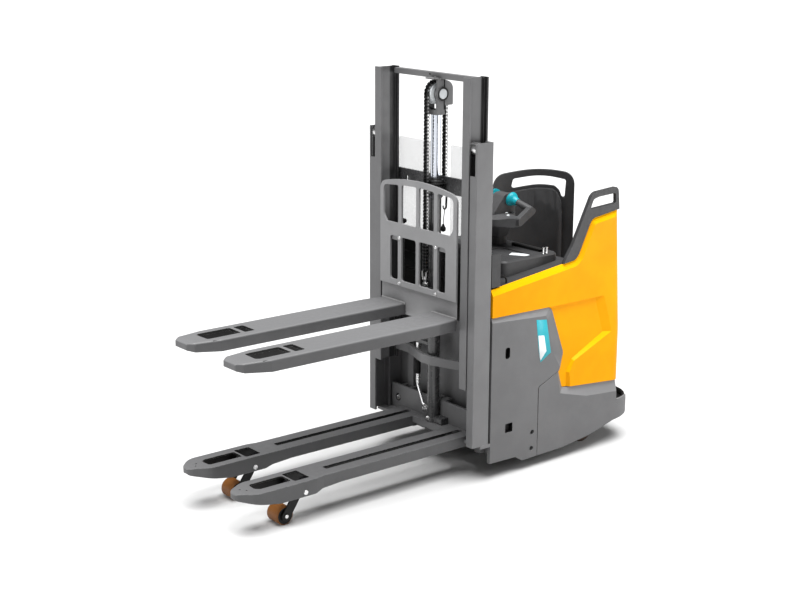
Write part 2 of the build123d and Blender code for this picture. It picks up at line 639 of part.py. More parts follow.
def rocker():
    """Left wheel rocker: two plates, a tube round the pivot pin, a lever lug and the wheel axle."""
    pivot_x = at(PIVOT[0])
    hub_x = at(HUB[0])
    length = math.hypot(HUB[0] - PIVOT[0], HUB[1] - PIVOT[1])
    tilt = math.degrees(math.atan2(PIVOT[1] - HUB[1], HUB[0] - PIVOT[0]))
    low = LOAD_WHEEL_SPAN[0] - ROCKER_CLEARANCE
    high = LOAD_WHEEL_SPAN[1] + ROCKER_CLEARANCE
    plate = extrude(SlotCenterToCenter(length, 2 * ROCKER_HALF_WIDTH), ROCKER_PLATE)
    plate = Rot(0, tilt, 0) * Rot(90, 0, 0) * Pos(length / 2, 0, 0) * plate
    body = bar_y(pivot_x, PIVOT[1], ROCKER_TUBE, low, high)
    body += Pos(pivot_x, high + ROCKER_PLATE, PIVOT[1]) * plate
    body += Pos(pivot_x, low, PIVOT[1]) * plate
    half = ROCKER_LUG["half"]
    lug_top = PIVOT[1] + ROCKER_LUG["height"]
    body += block(pivot_x - half, pivot_x + half, ARM_CENTRE - half, ARM_CENTRE + half, PIVOT[1], lug_top)
    outer_low = low - ROCKER_PLATE - PIN_PROUD
    outer_high = high + ROCKER_PLATE + PIN_PROUD
    body += bar_y(hub_x, HUB[1], PIN_RADIUS, outer_low, outer_high)
    return body - bar_y(pivot_x, PIVOT[1], PIN_RADIUS + RUNNING, outer_low, outer_high)


def wheel(x, z, radius, low, high, bevel, bore):
    """Wheel along Y with bevelled tread edges and a bore."""
    tyre = bar_y(x, z, radius, low, high)
    tyre = chamfer(tyre.edges().filter_by(GeomType.CIRCLE), bevel)
    return tyre - bar_y(x, z, bore + RUNNING, low - 1, high + 1)


def push_rods():
    """Pair of push rods inside the support arms."""
    rods = []
    for side in (-1, 1):
        across = side * ARM_CENTRE
        low, high = across - PUSH_ROD_HALF, across + PUSH_ROD_HALF
        rods.append(block(at(PUSH_ROD[0]), at(PUSH_ROD[1]), low, high, *PUSH_ROD_HEIGHT))
    return Compound(children=rods)


def mast_cylinder():
    """Lift cylinder's tube and gland, with its round foot, a lug and the hose's clip."""
    x = at(LIFT_X)
    tube = bar_z(x, 0, TUBE_RADIUS, ARM_TOP, TUBE_TOP)
    tube += bar_z(x, 0, GLAND_RADIUS, TUBE_TOP, GLAND_TOP)
    foot_top = ARM_TOP + CYLINDER_FOOT["height"]
    tube += bar_z(x, 0, CYLINDER_FOOT["radius"], ARM_TOP, foot_top) & block(
        at(FOOT_REAR), at(0), -TUBE_TOP, TUBE_TOP, ARM_TOP, foot_top
    )
    x0, x1, y0, y1, height = CYLINDER_LUG
    tube += block(at(x0) + GAP, at(x1), y0, y1, ARM_TOP, ARM_TOP + height)
    x0, x1, y0, y1, clip_foot, clip_top = HOSE_CLIP
    tube += block(at(x0), at(x1), y0, y1, clip_foot, clip_top)
    tube -= bar_z(x, 0, TUBE_RADIUS - TUBE_WALL, foot_top + TUBE_WALL, TUBE_TOP - TUBE_WALL)
    return tube - bar_z(x, 0, ROD_RADIUS + RUNNING, TUBE_TOP - TUBE_WALL - 1, GLAND_TOP + 1)


def hydraulic_line():
    """Pressure hose with its unions, from the clip down to the cylinder's foot."""
    route = [(at(x), y, z) for x, y, z in HOSE_ROUTE]
    path = FilletPolyline(*route, radius=HOSE_BEND)
    hose = sweep(Plane(origin=route[0], z_dir=(0, 0, -1)) * Circle(HOSE_RADIUS), path=path)
    x, y, z = route[0]
    hose += bar_z(x, y, HOSE_RADIUS + UNION_WALL, z - HOSE_UNION, z)
    x, y, z = route[-1]
    return hose + bar_y(x, z, HOSE_RADIUS + UNION_WALL, y - HOSE_UNION / 2, y)


def lift_rods():
    """Pair of initial-lift rods under the foot's shelves."""
    places = (-LIFT_ROD_Y, LIFT_ROD_Y)
    return Compound(children=[bar_z(at(LIFT_ROD_X), y, LIFT_ROD_RADIUS, *LIFT_ROD) for y in places])


def lift_cylinders():
    """Pair of initial-lift cylinders that stand on the chassis."""
    foot, top = LIFT_TUBE
    bodies = []
    for side in (-1, 1):
        body = bar_z(at(LIFT_ROD_X), side * LIFT_ROD_Y, LIFT_TUBE_RADIUS, foot, top)
        bore_foot = foot + LIFT_TUBE_BASE
        bore = bar_z(at(LIFT_ROD_X), side * LIFT_ROD_Y, LIFT_ROD_RADIUS + RUNNING, bore_foot, top + 1)
        bodies.append(body - bore)
    return Compound(children=bodies)


def guard_panes():
    """Pair of clear panes behind the mast, either side of the chain."""
    panes = []
    for side in (-1, 1):
        edges = sorted(side * edge for edge in PANE_SPAN)
        corners = rectangle(*edges, *PANE_HEIGHT, PANE_CORNER)
        panes.append(prism_x(corners, at(PANE_FRONT) - PANE_THICKNESS, at(PANE_FRONT)))
    return Compound(children=panes)


def chain_strand(distance, z0, z1):
    """Straight chain run."""
    front = at(distance) + CHAIN_HALF_DEPTH
    return block(front - 2 * CHAIN_HALF_DEPTH, front, -CHAIN_HALF_WIDTH, CHAIN_HALF_WIDTH, z0, z1)


# Inner mast


def inner_column():
    """Left I-section rail."""
    front = at(RAIL_LEAD)
    rear = front - RAIL_DEPTH
    web_low = RAIL_HALF - (RAIL_FLANGE + RAIL_WALL) / 2
    web_high = web_low + RAIL_WALL
    front_face = front - RAIL_WALL
    rear_face = rear + RAIL_WALL
    section = [
        (front, RAIL_INNER, 2), (front, RAIL_HALF, 2), (front_face, RAIL_HALF, 2), (front_face, web_high, 4),
        (rear_face, web_high, 4), (rear_face, RAIL_HALF, 2), (rear, RAIL_HALF, 2), (rear, RAIL_INNER, 2),
        (rear_face, RAIL_INNER, 2), (rear_face, web_low, 4), (front_face, web_low, 4),
        (front_face, RAIL_INNER, 2),
    ]
    return prism_z(section, RAIL_FOOT, RAIL_TOP)


def inner_top_bar():
    """Head bar between the rails."""
    rear = at(RAIL_LEAD) - RAIL_DEPTH
    front = rear + TOP_BAR_DEPTH
    top = RAIL_TOP - TOP_BAR_DROP
    bar = block(rear, front, -RAIL_INNER, RAIL_INNER, top - TOP_BAR_HEIGHT, top)
    drill = Cylinder(TOP_BAR_HOLE["radius"], 2 * TOP_BAR_HOLE["depth"])
    return bar - Pos(front, TOP_BAR_HOLE["y"], top - TOP_BAR_HOLE["drop"]) * Rot(0, 90, 0) * drill


def inner_lower_bar():
    """Lower bar between the rails, bowed forward round the lift cylinder."""
    end, bow = at(LOWER_BAR_FRONT["end"]), at(LOWER_BAR_FRONT["bow"])
    end_half, bow_half = LOWER_BAR_FRONT["end_half"], LOWER_BAR_FRONT["bow_half"]
    bend = LOWER_BAR_FRONT["round"]
    front = [
        (end, -RAIL_INNER, 0), (end, -end_half, bend), (bow, -bow_half, bend), (bow, bow_half, bend),
        (end, end_half, bend), (end, RAIL_INNER, 0),
    ]
    rear = [(x - LOWER_BAR_DEPTH, y, radius) for x, y, radius in reversed(front)]
    return prism_z(front + rear, *LOWER_BAR)


def piston_rod():
    """Lift rod under the pulley head."""
    return bar_z(at(LIFT_X), 0, ROD_RADIUS, ROD_FOOT, HEAD_FOOT)


def pulley_head():
    """Two cheeks on a block over the rod, with the hollow pulley axle between them."""
    x = at(LIFT_X)
    rear = CHEEK_CORNERS[-1][0]
    block_top = HEAD_FOOT + HEAD_BLOCK
    head = block(x + rear, x + HEAD_BLOCK_FRONT, -HEAD_HALF, HEAD_HALF, HEAD_FOOT, block_top)
    head += prism_y(shifted(CHEEK_CORNERS, along=x), HEAD_HALF - HEAD_PLATE, HEAD_HALF)
    slot, slot_half = x + HEAD_SLOT["x"], HEAD_SLOT["half"]
    slot_floor = HEAD_HALF - HEAD_SLOT["depth"]
    head -= block(slot - slot_half, slot + slot_half, slot_floor, HEAD_HALF, block_top, RAIL_TOP)
    far = HEAD_FAR_CHEEK
    far_top = PULLEY_HEIGHT + AXLE_RADIUS
    head += block(x - far, x + far, -HEAD_HALF, HEAD_PLATE - HEAD_HALF, HEAD_FOOT, far_top)
    boss = HEAD_HALF + HEAD_BOSS
    head += bar_y(x, PULLEY_HEIGHT, AXLE_RADIUS, -HEAD_HALF, boss)
    return head - bar_y(x, PULLEY_HEIGHT, AXLE_BORE, -boss, boss + 1)


def chain_pulley():
    """Flanged chain pulley on the hollow axle."""
    x = at(LIFT_X)
    half = PULLEY_GROOVE + PULLEY_FLANGE
    pulley = bar_y(x, PULLEY_HEIGHT, PULLEY_RADIUS - CHAIN_HALF_DEPTH - GAP, -half, half)
    for side in (-1, 1):
        pulley += bar_y(x, PULLEY_HEIGHT, PULLEY_RIM, side * PULLEY_GROOVE, side * half)
    return pulley - bar_y(x, PULLEY_HEIGHT, AXLE_RADIUS + RUNNING, -half - 1, half + 1)


def chain_wrap():
    """Chain's half turn over the pulley."""
    x = at(LIFT_X)
    outer = PULLEY_RADIUS + CHAIN_HALF_DEPTH
    ring = bar_y(x, PULLEY_HEIGHT, outer, -CHAIN_HALF_WIDTH, CHAIN_HALF_WIDTH)
    ring -= bar_y(x, PULLEY_HEIGHT, outer - 2 * CHAIN_HALF_DEPTH, -CHAIN_HALF_WIDTH - 1, CHAIN_HALF_WIDTH + 1)
    return ring - block(x - outer, x + outer, -HEAD_HALF, HEAD_HALF, PULLEY_HEIGHT - outer, PULLEY_HEIGHT)


# Carriage


def carriage_frame():
    """Carriage: heel plate with a tongue, uprights, side plates with roller pins and the chain stud."""
    front = at(CARRIAGE_FRONT)
    rear = front - CARRIAGE_PLATE
    side_foot, side_top = SIDE_PLATE["foot"], SIDE_PLATE["top"]
    frame = block(rear, front, -CARRIAGE_HALF, CARRIAGE_HALF, CARRIAGE_FOOT, GUARD_FOOT + 4)
    frame += block(rear, front, -TONGUE[1], TONGUE[1], TONGUE[0], CARRIAGE_FOOT + 1)
    roller_x = at(CARRIAGE_ROLLER["x"])
    pin_end = RAIL_INNER + 1 + CARRIAGE_ROLLER["width"]
    pad_end = RAIL_INNER + SLIDE_PAD["reach"]
    pad_foot = side_top - 4 - SLIDE_PAD["height"]
    for side in (-1, 1):
        half = side * CARRIAGE_HALF
        inner = half - side * SIDE_PLATE["wall"]
        frame += block(rear, front, side * UPRIGHT[0], side * UPRIGHT[1], GUARD_FOOT, side_top + 14)
        frame += block(at(SIDE_PLATE["rear"]), front, inner, half, side_foot, side_top)
        frame += block(rear, front, side * UPRIGHT[0], half, side_top - 24, side_top + 14)
        frame += bar_y(roller_x, CARRIAGE_ROLLER["z"], CARRIAGE_ROLLER["pin"], half - side, side * pin_end)
        pad_rear, pad_front = at(SLIDE_PAD["rear"]), at(SLIDE_PAD["front"])
        frame += block(pad_rear, pad_front, half - side, side * pad_end, pad_foot, side_top - 4)
    strand = at(CHAIN_FRONT_X)
    stud_half = STUD["half"]
    frame += block(strand - STUD["rear"], front, -stud_half, stud_half, side_foot, side_foot + STUD["height"])
    return frame + bar_z(strand, 0, STUD["radius"], side_foot - 14, CHAIN_FRONT_END)


def carriage_roller():
    """Left carriage roller in the rail's inner channel."""
    x = at(CARRIAGE_ROLLER["x"])
    low = RAIL_INNER + 1
    high = low + CARRIAGE_ROLLER["width"]
    roller = bar_y(x, CARRIAGE_ROLLER["z"], RAIL_DEPTH / 2 - RAIL_WALL - GAP, low, high)
    return roller - bar_y(x, CARRIAGE_ROLLER["z"], CARRIAGE_ROLLER["pin"] + RUNNING, low - 1, high + 1)


def load_guard():
    """Load guard plate with an arched head, four upper windows and four lower windows."""
    rear = at(CARRIAGE_FRONT)
    shoulder, shoulder_z = GUARD_SHOULDER
    edges = [
        RadiusArc((-GUARD_HALF, GUARD_SIDE_TOP), (-shoulder, shoulder_z), GUARD_CORNER),
        ThreePointArc((-shoulder, shoulder_z), (0, GUARD_CROWN), (shoulder, shoulder_z)),
        RadiusArc((shoulder, shoulder_z), (GUARD_HALF, GUARD_SIDE_TOP), GUARD_CORNER),
        Polyline(
            (GUARD_HALF, GUARD_SIDE_TOP), (GUARD_HALF, GUARD_FOOT), (-GUARD_HALF, GUARD_FOOT),
            (-GUARD_HALF, GUARD_SIDE_TOP),
        ),
    ]
    plane = Plane(origin=(rear, 0, 0), x_dir=(0, 1, 0), z_dir=(1, 0, 0))
    guard = extrude(plane * make_face(edges), GUARD_THICKNESS)
    for window in GUARD_WINDOWS:
        cut = prism_x(window, rear - 1, rear + GUARD_THICKNESS + 1)
        guard -= cut
        guard -= right_hand(cut)
    return guard


def guard_bolts():
    """Four bolts that hold the load guard to the carriage's uprights."""
    x = at(CARRIAGE_FRONT) + GUARD_THICKNESS + BOLT_HEAD / 2
    y = sum(UPRIGHT) / 2
    heads = []
    for side in (-1, 1):
        for height in BOLT_HEIGHTS:
            heads.append(Pos(x, side * y, height) * Rot(0, 90, 0) * Cylinder(BOLT_RADIUS, BOLT_HEAD))
    return Compound(children=heads)


def fork():
    """Left fork: an inverted trough with a tapered blunt tip and two tip windows."""
    centre = FORK_SPACING / 2
    half = FORK_WIDTH / 2
    below = FORK_TOP - FORK_WIDTH / 2
    shoulder, shoulder_half = FORK_SHOULDER
    taper_end, inset = FORK_HEEL_TAPER
    plan = [
        (FORK_HEEL, -half, 0), (FORK_TAPER, -half, 14), (shoulder, -shoulder_half, 14),
        (FORK_TIP, -FORK_TIP_HALF, 12), (FORK_TIP, FORK_TIP_HALF, 12), (shoulder, shoulder_half, 14),
        (FORK_TAPER, half, 14), (taper_end, half, 40), (FORK_HEEL, half - inset, 0),
    ]
    inside = half - FORK_WALL
    heel = FORK_HEEL + FORK_HEEL_WALL
    end, end_half = FORK_TROUGH_END
    trough = [
        (heel, -inside, 0), (FORK_TAPER - 6, -inside, 20), (end, -end_half, 10), (end, end_half, 10),
        (FORK_TAPER - 6, inside, 20), (taper_end, inside, 40), (heel, inside - inset, 0),
    ]
    rear_window = rectangle(*FORK_REAR_WINDOW)
    blade = prism_z(shifted(from_mast(plan), across=centre), below, FORK_TOP)
    rim = [edge for edge in blade.faces().sort_by(Axis.Z)[-1].edges() if edge.center().X > at(FORK_HEEL) + 1]
    blade = fillet(rim, FORK_EDGE)
    blade &= prism_y(from_mast(FORK_SIDE), centre - half - 1, centre + half + 1)
    blade -= prism_z(shifted(from_mast(trough), across=centre), below, FORK_TOP - FORK_ROOF)
    for window in (FORK_WINDOW, rear_window):
        blade -= prism_z(shifted(from_mast(window), across=centre), below, FORK_TOP + 1)
    return blade


# Covers and hull


def hull_left():
    """Left hull panel with a bevelled head, a round rear corner and a recess, thick beside the operator."""
    inner = HALF_WIDTH - HULL_WALL_THICKNESS
    hull = prism_y(from_mast(HULL_LEFT), HALF_WIDTH - COVER_THICKNESS, HALF_WIDTH)
    hull += prism_y(from_mast(HULL_WALL), inner, HALF_WIDTH - COVER_THICKNESS + 1)
    bevel_start = HALF_WIDTH - HULL_BEVEL
    plane = Plane(origin=(0, bevel_start, 0), x_dir=(-1, 0, 0), z_dir=(0, 1, 0))
    facing = [(-u, v, radius) for u, v, radius in from_mast(HULL_HEAD)]
    bevel = extrude(plane * outline(facing), HULL_BEVEL, taper=HULL_BEVEL_ANGLE)
    hull &= bevel + prism_y(from_mast(HULL_HEAD), inner - 1, bevel_start)
    knee_x, knee_z, _ = HULL_LEFT[-1]
    head_x, head_z, _ = HULL_LEFT[-2]
    plan = from_mast([
        (knee_x, HALF_WIDTH, HULL_REAR_ROUND), (0, HALF_WIDTH, 0), (0, inner - 1, 0), (knee_x, inner - 1, 0),
    ])
    lean = (head_x - knee_x, 0, head_z - knee_z)
    upper = extrude(Pos(0, 0, knee_z) * outline(plan), 1.1 * math.hypot(*lean), dir=lean)
    hull &= prism_z(plan, 0, knee_z) + upper
    recess = between_y(HULL_RECESS_FLOOR, HALF_WIDTH - HULL_RECESS_DEPTH, HULL_RECESS_RIM, HALF_WIDTH)
    return hull - recess


def hull_right():
    """Right hull panel that curves round behind the operator."""
    panel = prism_y(from_mast(HULL_RIGHT), -HALF_WIDTH, COVER_THICKNESS - HALF_WIDTH)
    inner = SHELL_OUTER + 1
    end = HULL_ARC["end"]
    panel += arc_wall(inner, HULL_ARC["outer"], -90, end, HULL_ARC["sill"], HULL_ARC["top"])
    return panel + arc_wall(inner, HULL_ARC["foot_outer"], -90, end, HULL_ARC["foot"], HULL_ARC["sill"] + 1)


def side_cover():
    """Left battery cover with a wide bevel, lifting slots and bolt holes."""
    low = HALF_WIDTH - COVER_THICKNESS
    cover = prism_y(from_mast(COVER_SIDE), low, HALF_WIDTH)
    for slot in (COVER_SLOT, COVER_WINDOW):
        cover -= prism_y(from_mast(rectangle(*slot)), low - 1, HALF_WIDTH + 1)
    for distance, height in COVER_HOLES:
        cover -= bar_y(at(distance), height, COVER_HOLE_RADIUS, low - 1, HALF_WIDTH + 1)
    return bevelled(cover, COVER_FACE, COVER_EDGE, COVER_BEVEL, low)


def rear_skirt():
    """Skirt round the operator's stand, low at the entry behind, with bevelled heads at its sides."""
    front = at(SKIRT_FRONT)
    plan = [
        (front, -HALF_WIDTH, 0), (at(REAR_END), -HALF_WIDTH, SKIRT_CORNER),
        (at(REAR_END), HALF_WIDTH, SKIRT_CORNER), (front, HALF_WIDTH, 0),
    ]
    inner = HALF_WIDTH - SKIRT_WALL
    inner_rear = at(REAR_END) + SKIRT_WALL
    inner_corner = SKIRT_CORNER - SKIRT_WALL
    hollow = [
        (front + 1, -inner, 0), (inner_rear, -inner, inner_corner), (inner_rear, inner, inner_corner),
        (front + 1, inner, 0),
    ]
    ring = prism_z(plan, 0, HULL_LEFT[2][1]) - prism_z(hollow, -1, HULL_LEFT[2][1] + 1)
    ring &= prism_y(from_mast(SKIRT_SIDE), -COLUMN_HALF, COLUMN_HALF)
    half = bevelled(ring, SKIRT_FACE, SKIRT_EDGE, SKIRT_BEVEL, 0)
    return half + right_hand(half)


def grab_frame():
    """Left grab frame over the hull, with its handle opening."""
    low, high = GRAB_SPAN
    frame = prism_y(from_mast(GRAB_RIM), low, high)
    return frame - prism_y(from_mast(GRAB_OPENING), low - 1, high + 1)


# Backrest


def backrest_shell():
    """Curved backrest shell at the right rear with a rounded head and its hoop opening."""
    start, stop = BACK_DIRECTION + BACK_SPREAD, BACK_DIRECTION - BACK_SPREAD
    shell = arc_wall(SHELL_INNER, SHELL_OUTER, start, stop, SHELL_OUTLINE[0][1], RAIL_TOP)
    return (shell & back_prism(SHELL_OUTLINE)) - back_prism(SHELL_OPENING)


def backrest_pad():
    """Backrest cushion, crowned towards the operator and drawn in at its rim."""
    back = SHELL_INNER - GAP
    low, high = PAD_HEIGHT
    rim = back - PAD_RIM
    section = [
        Line((back, low), (rim, low)),
        ThreePointArc((rim, low), (back - PAD_CROWN, (low + high) / 2), (rim, high)),
        Line((rim, high), (back, high)),
        Line((back, high), (back, low)),
    ]
    plane = Plane(origin=around_seat(0, 0, 0), x_dir=(1, 0, 0), z_dir=(0, -1, 0))
    spin = Axis(around_seat(0, 0, 0), (0, 0, 1))
    pad = revolve(plane * make_face(section), axis=spin, revolution_arc=2 * BACK_SPREAD)
    pad = pad.rotate(spin, BACK_DIRECTION - BACK_SPREAD)
    return pad & back_prism(PAD_OUTLINE)


# Console and steering


def console_hood():
    """Console over the machine room: screen with posts, sloped deck, tray body and steering column."""
    hood = block(at(SCREEN[0]), at(SCREEN[1]), -SCREEN_HALF, SCREEN_HALF, *SCREEN_HEIGHT)
    top = [(distance, height, 0) for distance, height in DECK_SLOPE]
    underside = [(distance, height - DECK_THICKNESS, 0) for distance, height in reversed(DECK_SLOPE)]
    hood += prism_y(from_mast(top + underside), -DECK_HALF, DECK_HALF)
    rear_panel = at(DECK_REAR) + DECK_THICKNESS
    hood += block(at(DECK_REAR), rear_panel, -SCREEN_HALF, SCREEN_HALF, *REAR_PANEL)
    for side in (-1, 1):
        inner, outer = side * POST["inner"], side * POST["outer"]
        hood += block(at(POST["rear"]), at(HULL_FRONT), inner, outer, POST["foot"], POST["top"])
    body = prism_z(from_mast(rectangle(*TRAY_BODY)), DECK_SLOPE[0][1], TRAY_TOP)
    hood += chamfer(body.faces().sort_by(Axis.Z)[-1].edges(), TRAY_BEVEL)
    x0, x1, y0, y1, radius = TRAY_BODY
    wall = TRAY_WALL
    inside = rectangle(x0 + wall, x1 - wall, y0 + wall, y1 - wall, radius - wall)
    hood -= prism_z(from_mast(inside), DECK_SLOPE[0][1] - 2 * wall, TRAY_TOP - wall)
    recess = from_mast(rectangle(*TRAY_RECESS))
    hood -= prism_z(recess, TRAY_TOP - TRAY_RECESS_DEPTH, TRAY_TOP + 1)
    hood += bar_z(at(STEER_X), STEER_Y, STEER_COLUMN, TRAY_TOP - 1, STEER_COLUMN_TOP)
    bore_foot = STEER_COLUMN_TOP - STEER_SHAFT_DEPTH - GAP
    return hood - bar_z(at(STEER_X), STEER_Y, STEER_SHAFT + RUNNING, bore_foot, STEER_COLUMN_TOP + 1)


def grip_plane(side):
    """Plane across a grip at its start, with its normal along the grip."""
    place = Vector(at(STEER_X), STEER_Y, STEER_Z)
    start = Vector(GRIP_START[0], side * GRIP_START[1], GRIP_START[2])
    end = Vector(GRIP_END[0], side * GRIP_END[1], GRIP_END[2])
    return Plane(origin=place + start, z_dir=end - start), (end - start).length


def steering_wheel():
    """Steering yoke: a dish with a belly, a raised hub, and two sloping grips held by side arms."""
    x, y, z = at(STEER_X), STEER_Y, STEER_Z
    dish = prism_z(shifted(STEER_DISH, x, y), z - HALF_WIDTH, z + HALF_WIDTH)
    yoke = dish & prism_y(shifted(STEER_DISH_SIDE, x, z), y - HALF_WIDTH, y + HALF_WIDTH)
    yoke += prism_y(shifted(STEER_HUB_SIDE, x, z), y - STEER_HUB_HALF, y + STEER_HUB_HALF)
    belly_top = z + STEER_BELLY_TOP
    belly = Plane(origin=(x, y, belly_top), x_dir=(1, 0, 0), z_dir=(0, 0, -1)) * outline(STEER_BELLY)
    yoke += extrude(belly, STEER_BELLY_DEPTH, taper=STEER_BELLY_TAPER)
    yoke += bar_z(x, y, STEER_SHAFT, STEER_COLUMN_TOP - STEER_SHAFT_DEPTH, belly_top)
    well = BUTTON["radius"] + GAP
    well_foot = z + BUTTON["foot"] - BUTTON["well"]
    for side in (-1, 1):
        low, high = sorted(y + side * edge for edge in STEER_ARM_SPAN)
        yoke += prism_y(shifted(STEER_ARM_SIDE, x, z), low, high)
        plane, length = grip_plane(side)
        yoke += extrude(plane * Circle(GRIP_RADIUS), length)
        yoke -= bar_z(x + BUTTON["x"], y + side * BUTTON["y"], well, well_foot, z + BUTTON["top"])
    return yoke


def thumb_switch(side):
    """Flared thumb switch that turns on a grip."""
    plane, _ = grip_plane(side)
    start, stop = SWITCH_SPAN
    bore = GRIP_RADIUS + RUNNING
    points = [(radius, start + along) for along, radius in SWITCH_PROFILE]
    section = make_face([
        Spline(*points), Polyline(points[-1], (bore, stop), (bore, start), points[0]),
    ])
    flare = revolve(Plane.XZ * section, axis=Axis.Z)
    return plane.location * flare


def thumb_button(side):
    """Push button on the steering dish."""
    x, y = at(STEER_X) + BUTTON["x"], STEER_Y + side * BUTTON["y"]
    return bar_z(x, y, BUTTON["radius"], STEER_Z + BUTTON["foot"], STEER_Z + BUTTON["top"])


# Chassis, stand and machine room


def chassis_frame():
    """Welded chassis: front wall with guide rails, floor, side walls and rear bulkhead."""
    front = at(CHASSIS_FRONT)
    wall_rear = front - CHASSIS_WALL
    deck = [
        (wall_rear, -CHASSIS_HALF, 0), (at(CHASSIS_REAR), -CHASSIS_HALF, CHASSIS_CORNER),
        (at(CHASSIS_REAR), CHASSIS_HALF, CHASSIS_CORNER), (wall_rear, CHASSIS_HALF, 0),
    ]
    frame = prism_z(deck, *FLOOR)
    frame += block(wall_rear, front, -CHASSIS_HALF, CHASSIS_HALF, *CHASSIS_WALL_HEIGHT)
    half = BULKHEAD_HALF
    frame += block(at(BULKHEAD[0]), at(BULKHEAD[1]), -half, half, FLOOR[1] - 1, BULKHEAD_TOP)
    for side in (-1, 1):
        inner = side * (CHASSIS_HALF - CHASSIS_WALL)
        frame += block(at(BULKHEAD[1]), front, inner, side * CHASSIS_HALF, *SIDE_WALL_HEIGHT)
        low, high = side * GUIDE_RAIL[0], side * GUIDE_RAIL[1]
        frame += block(front, front + RAIL_REACH, low, high, *RAIL_HEIGHT)
        near = side * (LIFT_ROD_Y - LIFT_BRACKET_HALF)
        far = side * (LIFT_ROD_Y + LIFT_BRACKET_HALF)
        seat_front = at(LIFT_ROD_X) + LIFT_TUBE_RADIUS + LIFT_SEAT_LIP
        frame += block(wall_rear, seat_front, near, far, *LIFT_SEAT)
        frame += block(wall_rear, front, near, far, LIFT_SEAT[0], CHASSIS_WALL_HEIGHT[0] + 1)
    return frame - bar_z(at(DRIVE_X), 0, TURRET_RADIUS - TURRET_WALL / 2, FLOOR[0] - 1, FLOOR[1] + 1)


def stand_plan(inset):
    """Plan of the operator's mat, drawn in by an inset at its sides and rear."""
    half = MAT_HALF - inset
    rear = MAT_REAR + inset
    corner = MAT_CORNER - inset
    corners = [(MAT_FRONT, -half, 0), (rear, -half, corner), (rear, half, corner), (MAT_FRONT, half, 0)]
    return from_mast(corners)


def platform_mat():
    """Ribbed rubber mat on the operator's floor, with its raised rear lip."""
    top = FLOOR[1] + MAT_THICKNESS
    mat = prism_z(stand_plan(0), FLOOR[1], top)
    half = MAT_GROOVE["half"]
    for row in range(MAT_GROOVE["count"]):
        x = at(MAT_GROOVE["first"] - row * MAT_GROOVE["pitch"])
        mat -= block(x - half, x + half, -MAT_HALF, MAT_HALF, top - MAT_GROOVE["depth"], top + 1)
    lip_top = MAT_LIP["top"]
    lip = prism_z(stand_plan(0), top - MAT_GROOVE["depth"], lip_top)
    lip -= prism_z(stand_plan(MAT_LIP["width"]), top - MAT_GROOVE["depth"] - 1, lip_top + 1)
    return mat + (lip & block(at(REAR_END), at(MAT_LIP["front"]), -HALF_WIDTH, HALF_WIDTH, 0, lip_top))


def battery():
    """Battery block behind the mast, with a lid seam and terminals."""
    rear, front = at(BATTERY[0]), at(BATTERY[1])
    body = block(rear, front, -BATTERY_HALF, BATTERY_HALF, FLOOR[1], BATTERY_TOP)
    seam = BATTERY_TOP - 10 * BATTERY_SEAM
    reach = BATTERY_HALF + 1
    body -= block(rear - 1, rear + BATTERY_SEAM, -reach, reach, seam, seam + BATTERY_SEAM)
    x, radius = at(TERMINAL["x"]), TERMINAL["radius"]
    for side in (-1, 1):
        y = side * TERMINAL["y"]
        body += bar_z(x, y, radius, BATTERY_TOP - 1, BATTERY_TOP + TERMINAL["height"])
    return body


def power_pack():
    """Hydraulic pump with its tank, and the motor controller, beside the drive."""
    x0, x1, y0, y1 = TANK
    unit = block(at(x0), at(x1), y0, y1, FLOOR[1], TANK_TOP)
    unit += bar_z(at((x0 + x1) / 2), (y0 + y1) / 2, PUMP_RADIUS, TANK_TOP - 1, TANK_TOP + PUMP_HEIGHT)
    x0, x1, y0, y1 = CONTROLLER
    return Compound(children=[unit, block(at(x0), at(x1), y0, y1, FLOOR[1], CONTROLLER_TOP)])


def drive_turret():
    """Steered drive: bell on the floor's ring, motor above it and gear leg with the wheel axle below it."""
    x = at(DRIVE_X)
    ceiling, roof = TURRET_ROOF
    turret = bar_z(x, 0, TURRET_RADIUS, FLOOR[1] + TURRET_LIFT, roof)
    turret -= bar_z(x, 0, TURRET_RADIUS - TURRET_WALL, FLOOR[1], ceiling)
    turret += bar_z(x, 0, MOTOR_RADIUS, roof - 1, MOTOR_TOP)
    half = GEAR_LEG["half"]
    turret += block(x - half, x + half, GEAR_LEG["inner"], GEAR_LEG["outer"], GEAR_LEG["foot"], ceiling + 1)
    return turret + bar_y(x, DRIVE_RADIUS, DRIVE_AXLE, DRIVE_AXLE_END, GEAR_LEG["inner"] + 1)


def castor_fork():
    """Left castor fork with its swivel plate and axle."""
    x, y = at(CASTOR["x"]), CASTOR["y"]
    axle_x, axle_z = x - CASTOR["trail"], CASTOR["radius"]
    plate_foot, side = CASTOR_PLATE["foot"], CASTOR["half"] + CASTOR_PLATE["side"]
    body = bar_z(x, y, CASTOR_PLATE["radius"], plate_foot, FLOOR[0] - TURRET_LIFT)
    hub, leg_top = CASTOR_LEG["hub"], plate_foot + CASTOR_LEG["lap"]
    foot_round = CASTOR_LEG["round"]
    leg = [
        (axle_x - hub, axle_z - hub, foot_round), (axle_x + hub, axle_z - hub, foot_round),
        (x + CASTOR_LEG["front"], leg_top, 0), (x - CASTOR_LEG["rear"], leg_top, 0),
    ]
    for low in (y - side - CASTOR_PLATE["leg"], y + side):
        body += prism_y(leg, low, low + CASTOR_PLATE["leg"])
    return body + bar_y(axle_x, axle_z, CASTOR["axle"], y - side - 1, y + side + 1)


# Assembly

